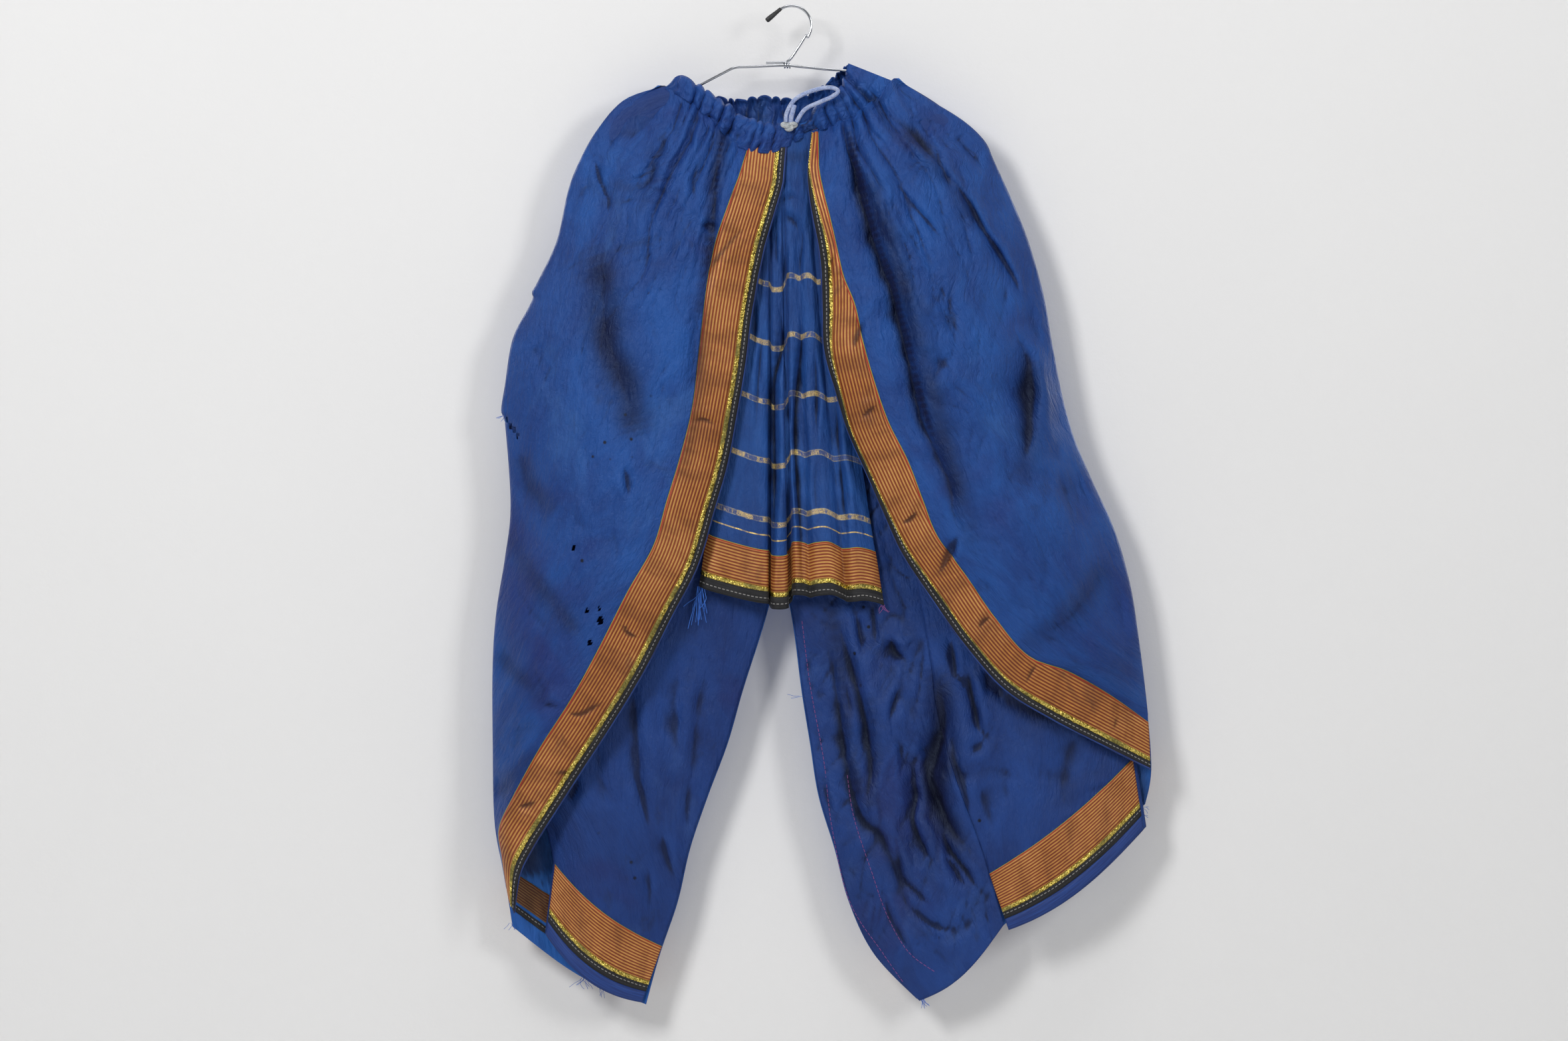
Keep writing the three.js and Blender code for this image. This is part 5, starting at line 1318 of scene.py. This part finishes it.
def makeLeg(name, table, outer, inner, side, casing, folds, shades=(), within=()):
    leg, part = name.split()
    sheet, dark, dim = legPoints(table, outer, inner, side, casing, folds, shades)
    tones = {"foldShade": dark, "dim": dim, "within": shadeField(sheet[..., 0], sheet[..., 2], within)}
    materials = [silkUnder if side < 0 else silkDrape, silkInside]
    cloth = clothPiece(f"{leg}Leg{part}", sheet, side, materials, extra=tones)
    stand(cloth, "blue_silk", f"leg_{leg}_{part.lower()}")

    def rowAt(walk, column):                 # the border's own rows come last
        row = len(sheet) - legBorder["rows"] + (legBorder["rows"] - 1) * walk / borderHeight(legBorder)
        return np.broadcast_to(row, (len(walk), len(column)))

    trims = []
    if "border" in table:
        trims = hemTrims(f"{leg}LegFront_{{}}", f"leg_{leg}_{{}}", sheet, legBorder, rowAt)
    declareSheet(cloth, sheet)
    return sheet


makeLeg("left Front", leftFront, leftSeam, leftInseam, -1, frontCasing, leftFrontFolds, leftFrontShades)
makeLeg("right Front", rightFront, rightSeam, goreSeam, -1, frontCasing, rightFrontFolds, rightFrontShades)
goreSheet = makeLeg("right Gore", rightGore, goreSeam, rightInseam, -1, frontCasing, goreFolds, goreShades)
leftBackSheet = makeLeg("left Back", leftBack, leftSeam, leftInseam, 1, backCasing, leftBackFolds,
                        within=leftWithin)
rightBackSheet = makeLeg("right Back", rightBack, rightSeam, rightInseam, 1, backCasing, rightBackFolds,
                         within=rightWithin)


hemStrips = [                                # the back's hem border: start and stop above the hem, lift
    ("Band", 25, 58, 0.9, "copper_border", copper), ("Gold", 21, 25.2, 1.1, "gold_foil", foil),
    ("Binding", 12.5, 21.3, 1.0, "black_binding", bindingCloth),
]


def hemStrip(name, sheet, outward, strip, raised, firstColumn, material):
    part, start, stop, lift, slot, _ = strip
    start, stop = start + raised, stop + raised
    steps = np.linalg.norm(np.diff(sheet, axis=0), axis=2)[::-1].cumsum(0)
    fromHem = np.concatenate([np.zeros((1, sheet.shape[1])), steps])
    walk = np.linspace(stop, start, max(4, int((stop - start) / 2.4)))
    column = np.arange(firstColumn, sheet.shape[1] - 1, 1.0)
    rowsUp = np.arange(len(fromHem))
    reach = np.array([[np.interp(w, fromHem[:, int(c)], rowsUp) for c in column] for w in walk])
    row, column = len(sheet) - 1 - reach, np.broadcast_to(column[None, :], reach.shape)
    points = gridAt(sheet, row, column) + gridAt(gridNormals(sheet, outward), row, column) * lift
    across, _ = walkedLengths(points)
    height = np.broadcast_to(walk[:, None] - start, across.shape)
    extra = {"outer": stop - start - height} if part == "Band" else None
    stand(clothPiece(name, points, outward, [material], trimWall, (height, across), extra), slot)


for side, sheet, innerStart in (("left", leftBackSheet, 1), ("right", rightBackSheet, 8)):
    for strip in hemStrips:
        part, cloth = strip[0], strip[-1]
        hemStrip(f"{side}BackHem{part}", sheet, 1, strip, 0, 1, cloth)
        if part != "Gold":
            inner = copperShadedInside if part == "Band" else cloth
            hemStrip(f"{side}BackHemInner{part}", sheet, -1, strip, 8, innerStart, inner)
print("legs made")


# ---- seams, stitches and loose threads ----

def onSheet(sheet, x, z, lift=0.6):          # the front face of a sheet at (x, z)
    gap = (sheet[..., 0] - x) ** 2 + (sheet[..., 2] - z) ** 2
    row, column = np.unravel_index(np.argmin(gap), gap.shape)
    return sheet[row, column, 1] - lift


stitch = {"pitch": 5.0, "length": 3.4, "radius": 0.35}


def stitchRow(name, sheet, line, material):
    length = stitch["length"]
    path = smoothLine(line, 40 * len(line))
    steps = np.hypot(*np.diff(path, axis=0).T)
    walked = np.concatenate([[0], steps.cumsum()])
    dashes = []
    for start in np.arange(0, walked[-1] - length, stitch["pitch"]):
        ends = []
        for at in (start, start + length / 2, start + length):
            x, z = np.interp(at, walked, path[:, 0]), np.interp(at, walked, path[:, 1])
            ends.append((x, onSheet(sheet, x, z), z))
        dashes.append(ends)
    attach(curvePiece(name, dashes, stitch["radius"], material, 1, 1), "root")


def rootAt(sheet, x, z):                     # the point of a sheet's rim nearest to (x, z)
    rim = np.concatenate([sheet[-1], sheet[:, 0], sheet[:, -1]])
    return rim[np.argmin((rim[:, 0] - x) ** 2 + (rim[:, 2] - z) ** 2)]


def looseThreads(name, tufts, material, seed, radius=0.22):
    rng = np.random.default_rng(seed)
    lines = []
    for sheet, x, z, count, length, fall, wild in tufts:
        root = rootAt(sheet, x, z)
        for _ in range(count):
            p = root + rng.normal(0, 1.4, 3) * (1, 0.2, 0.2)
            step = np.array([wild * rng.normal(0, 0.7) + fall[0], wild * rng.normal(0, 0.35), fall[1]])
            line = [tuple(p)]
            for _ in range(4):
                step = step + wild * rng.normal(0, 0.4, 3) * (1, 0.5, 1)
                p = p + step / np.linalg.norm(step) * length * rng.uniform(0.16, 0.3)
                line.append(tuple(p))
            lines.append(line)
    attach(curvePiece(name, lines, radius, material, 4, 1), "root")


goreSeamLines = [
    [(11, -650), (20, -720), (34, -797), (43, -870), (62, -948), (97, -1002), (120, -1035)],
    [(59, -813), (66, -858), (85, -916), (101, -961), (123, -999), (152, -1021)],
]
for n, line in enumerate(goreSeamLines):
    stitchRow(f"goreStitches{n}", goreSheet, line, purpleThread)
looseThreads("blueThreads", [                # place, how many, how long, which way they fall and how wildly
    (leftBackSheet, -298, -971, 4, 11, (0.1, -1), 1), (leftBackSheet, -226, -1038, 7, 16, (-0.2, -1), 1),
    (leftBackSheet, -206, -1046, 5, 11, (0.3, -1), 1), (goreSheet, 138, -1049, 8, 10, (0.2, -1), 1),
    (goreSheet, 10, -731, 2, 14, (-1, -0.2), 0.4), (rightBackSheet, 372, -845, 6, 10, (0.4, -1), 1),
    (rightBackSheet, 363, -850, 4, 14, (0.8, -0.6), 0.8), (leftSheet, -305, -434, 6, 7, (-0.7, -0.5), 1),
], blueThread, 5)
print("threads made")


# ---- the pleated fan ----

fan = {
    "waistX": [-41, -38, -34, -30, -27, -25, -24, -23.4, -22, -20.5, -18.5, -15, -12.5, -11.4, -10.8, -8.5,
               -7, -4.5, 0, 3.5, 7, 11, 14, 16, 19, 22, 25, 28],
    "hemX": [-97, -88, -70, -50, -35, -27, -25.4, -27, -22.5, -20.5, -17, -9, -5, -4, -5, 1, 2.5, 6, 14, 20,
             28, 42, 52, 58, 66, 76, 88, 97],
    "hemZ": [-613, -617, -622, -627, -630, -631, -631, -630, -633, -636, -637, -637, -636, -635, -634, -628,
             -623, -622, -623, -625, -623, -622, -626, -629, -629, -628, -630, -633],
    "stand": [4, -1, -2.5, -3.5, -5, -4, 1, 7, 7, 0, -5, -5, -2, 4, 9, 8, 1, -5, -3, 1, -6, -7, -2, 3, -4,
              -5, 0, 5],
    "y": -25.5, "rows": 160, "columns": 160, "seed": 61,
}
fanBorder = {
    "parts": [("band", 39, "copper_border"), ("gold_line", 4.5, "gold_foil"),
              ("binding", 13, "black_binding")],
    "firstColumn": 0, "leastRows": 5, "density": 1.25, "crinkle": (1.3, 79),
}
fanFolds = [
    (4.2, 13, 0, [(-9, -262), (-10.6, -325), (-9, -359), (-17, -395), (-18, -430), (-17, -500), (-19, -580),
                  (-20, -640)]),
    (4.0, 12, 0, [(10.4, -300), (10.4, -350), (7, -385), (3, -440), (5, -499), (9, -560), (12, -640)]),
    (3.0, 8, 0, [(40, -380), (48, -432), (50, -463), (56, -530), (62, -600)]),
    (2.8, 7, 0, [(24, -350), (27, -420), (25, -480)]),
    (2.0, 5, 0, [(-30, -330), (-36, -400), (-40, -470)]),
    (4.0, 3.5, 0, [(-18, -196), (-10, -204), (0, -202), (8, -208)]),
    (4.0, 3.5, 0, [(-12, -216), (-4, -222), (4, -230), (6, -244)]),
    (2.6, 5, 0, [(-22, -214), (-24, -232), (-26, -254)]),
    (2.6, 5, 0, [(-14, -230), (-16, -256), (-14, -284)]),
    (2.8, 5, 0, [(10, -222), (12, -250), (10, -280), (14, -310)]),
    (2.6, 4, 0, [(-30, -236), (-33, -262), (-34, -288)]),
    (3.0, 4, 0, [(-2, -250), (-6, -280), (-2, -306)]),
    (3.4, 4, 0, [(-40, -300), (-38, -336), (-40, -370)]),
    (3.6, 4, 0, [(28, -470), (24, -510), (30, -560)]),
    (3.0, 4, 0, [(2, -400), (-2, -430), (2, -452)]),
    (3.0, 4, 0, [(54, -470), (60, -520), (66, -556)]),
]
fanShades = [
    (7, 0.6, [(24, -170), (30, -230), (40, -300), (50, -370), (66, -440), (86, -510)]),
    (6, 0.45, [(-34, -190), (-40, -250), (-46, -320)]),
    (5, 0.5, [(-14, -330), (-18, -400), (-18, -480), (-20, -560)]),
    (5, 0.5, [(8, -340), (6, -400), (4, -470), (8, -560)]),
    (9, 0.5, [(-18, -158), (0, -160), (20, -158)]),
]


def fanPoints():
    t = np.linspace(0, 1, fan["columns"])[None, :]
    above = np.linspace(1, 0, fan["rows"])[:, None]
    at = {key: smoothAt(fan[key], t) for key in ("waistX", "hemX", "hemZ", "stand")}
    hangY, hangZ = underCasing(frontCasing, at["waistX"])
    z = at["hemZ"] + (hangZ - at["hemZ"]) * above
    f = np.clip((hangZ - z) / (hangZ - at["hemZ"]), 0, 1)
    x = at["waistX"] + (at["hemX"] - at["waistX"]) * f ** 1.15
    puff = -4.5 * np.exp(-((z + 200) / 24) ** 2)
    y = hangY + (fan["y"] - hangY) * np.minimum(1, 3 * f) + at["stand"] * f ** 0.8 + puff * eased(8 * f)
    u, v = walkedLengths(np.stack([x, y, z], -1))
    push, _, foldShade = foldField(x, z, fanFolds)
    hold = eased(8 * f)
    rough, lines = crumple(u, v, 3, fan["seed"], 0.5)
    y = y + hold * push + hold * 0.45 * rough
    # painted shade in the fold troughs and crumple creases, and from the fan's shade tables
    dark = np.maximum(hold * foldShade, 0.25 * hold * np.clip(lines, 0, 1))
    y = y + 2.2 * hold * np.exp(-f / 0.3) * latticeNoise(x / 4.5, z / 24, fan["seed"] + 4)
    y = y + 1.6 * eased(8 * (f - 0.86)) * latticeNoise(x / 17, z * 0, fan["seed"] + 5)
    u = np.broadcast_to(u[-1:], u.shape)
    return np.stack([x, y, z], -1), u, z - at["hemZ"], {"foldShade": dark, "dim": shadeField(x, z, fanShades)}


def makeFan():
    sheet, u, above, tones = fanPoints()
    cloth = clothPiece("fanCloth", sheet, -1, [silkFan, silkUnder], uv=(u, above), extra=tones)
    stand(cloth, "blue_silk", "fan")
    last = len(sheet) - 1
    rowHeight = (above[0] - above[-1]) / last                  # mm a row, each column its own

    def rowAt(walk, column):
        step = np.interp(column, np.arange(len(rowHeight)), rowHeight)[None, :]
        return last - (borderHeight(fanBorder) - walk) / step

    trims = hemTrims("fan_{}Trim", "fan_{}", sheet, fanBorder, rowAt)
    declareSheet(cloth, sheet)
    return sheet


fanSheet = makeFan()
looseThreads("fanThreads", [(fanSheet, -96, -612, 9, 44, (-0.1, -1), 0.16),
                            (fanSheet, -94, -614, 6, 30, (-0.2, -1), 0.5)], blueThread, 15, 0.4)
looseThreads("purpleThreads", [(fanSheet, 96, -632, 5, 10, (0.1, -1), 0.6)], purpleThread, 6, 0.3)
print("fan made")


# ---- the wire hanger ----

hanger = {"wire": 1.45, "hook": 21.0, "coilWire": 0.95, "coil": 3.0, "tip": 2.6}


def makeHanger():
    arc = []
    for degrees in range(130, -36, -11):
        turn = math.radians(degrees)
        height = hanger["hook"] * (math.sin(turn) - 1) + hanger["wire"]
        arc.append((hanger["hook"] * math.cos(turn), 0, height))
    hook = arc + [(15.5, 0, -30), (9, 0, -40), (1, 0, -52), (-4, 0, -57.2), (-9, 0, -58.3), (-27, 0, -58.7)]
    leftArm = [(-5.2, 0, -61.5), (-45, 0, -63), (-60, 0, -64), (-75, 0, -71), (-140, 0, -105),
               (-196, 0, -133)]
    rightArm = [(-4.8, 0, -61.5), (40, 0, -66), (54, 0, -67), (68, 0, -72), (130, 0, -105), (182, 0, -134)]
    bar = [(-194.5, 0, -136.2), (-90, 0, -139), (80, 0, -140), (180.5, 0, -137.2)]
    coil = []
    for k in range(41):                      # the shank's end is wound round the arms
        turn = 2 * math.pi * k / 16
        height = -61.2 + hanger["coil"] * math.cos(turn)
        coil.append((-8.6 + 0.17 * k, hanger["coil"] * math.sin(turn), height))
    wires = [("hangerHook", "hanger_hook", hook), ("hangerLeftArm", "hanger_left_arm", leftArm),
             ("hangerRightArm", "hanger_right_arm", rightArm), ("hangerBar", "hanger_bar", bar)]
    for name, node, line in wires:
        piece = curvePiece(name, [line], hanger["wire"], wireMaterial, 8, 5)
        if name == "hangerHook":
            winding = curvePiece(name + "Coil", [coil], hanger["coilWire"], wireMaterial, 1, 4)
            piece = joined(name, [piece, winding])
        stand(piece, "hanger_wire", node)
    tipX, _, tipZ = arc[0]
    tipLine = [(tipX - 0.766 * d, 0, tipZ - 0.643 * d) for d in (-3, 2, 6, 11, 15.5, 17.2)]
    tip = curvePiece("hangerTip", [tipLine], hanger["tip"], rubberMaterial, 4, 5,
                     radii=[0.74, 0.8, 0.92, 1.05, 1.08, 0.7])
    stand(tip, "rubber_tip", "hanger_tip")


makeHanger()
print("hanger made")


# ---- wall, floor and light ----

room = {"wallY": 0.047, "floorZ": -1.32, "wall": (0.80, 0.795, 0.79), "floor": (0.74, 0.74, 0.735)}


def stagePlane(name, size, location, turn, colour, seeThrough):
    bm = bmesh.new()
    bmesh.ops.create_grid(bm, x_segments=1, y_segments=1, size=size)
    mesh = bpy.data.meshes.new(name)
    bm.to_mesh(mesh)
    bm.free()
    mesh.transform(Matrix.Translation(location) @ Matrix.Rotation(math.radians(turn), 4, "X"))
    piece = linked(name, mesh)
    material, n = newMaterial(name + "Plaster")
    place = n.place()
    plaster = n.mix(n.noise(place, 3.0, 4, 0.6), (*scaled(colour, 0.97), 1), (*colour, 1))
    shader = n.shader({"Base Color": plaster, "Roughness": 0.9, "Specular IOR Level": 0.1,
                       "Normal": n.bump(n.noise(place, 160, 4, 0.6), 0.001, 0.25)})
    if seeThrough:                           # seen from its back the wall isn't there
        shadow = n.add("ShaderNodeLightPath").outputs["Is Shadow Ray"]
        behind = n.add("ShaderNodeNewGeometry").outputs["Backfacing"]
        clear = n.add("ShaderNodeBsdfTransparent").outputs[0]
        mixed = n.fill(n.add("ShaderNodeMixShader"),
                       {0: n.math("MAXIMUM", behind, shadow), 1: shader.outputs[0], 2: clear})
        n.fill(n.tree.nodes["Material Output"], {0: mixed[0]})
    mesh.materials.append(material)


def softLight(name, location, size, power):
    data = bpy.data.lights.new(name, "AREA")
    data.shape = "RECTANGLE"
    data.size, data.size_y = size
    data.energy = power
    light = linked(name, data)
    light.location = location
    aim = Vector((0, 0, -0.55)) - Vector(location)
    light.rotation_euler = aim.to_track_quat("-Z", "Y").to_euler()


stagePlane("wall", 2.6, (0, room["wallY"], -0.6), 90, room["wall"], True)
stagePlane("floor", 4.0, (0, 0, room["floorZ"]), 0, room["floor"], False)
softLight("keyLight", (-1.5, -2.6, 0.9), (0.7, 0.9), 55)
softLight("fillLight", (1.9, -2.4, 0.5), (0.7, 0.9), 27)
softLight("topLight", (0.2, -0.9, 1.7), (1.6, 0.7), 12)
softLight("backLeft", (-1.7, 2.4, 0.8), (1.2, 1.4), 34)
softLight("backRight", (1.7, 2.4, 0.3), (1.2, 1.4), 26)
world = bpy.data.worlds.new("studio")
world.use_nodes = True
Nodes(world.node_tree).fill(world.node_tree.nodes["Background"], {0: (0.93, 0.95, 1.0, 1), 1: 0.14})
bpy.context.scene.world = world
print("stage made")
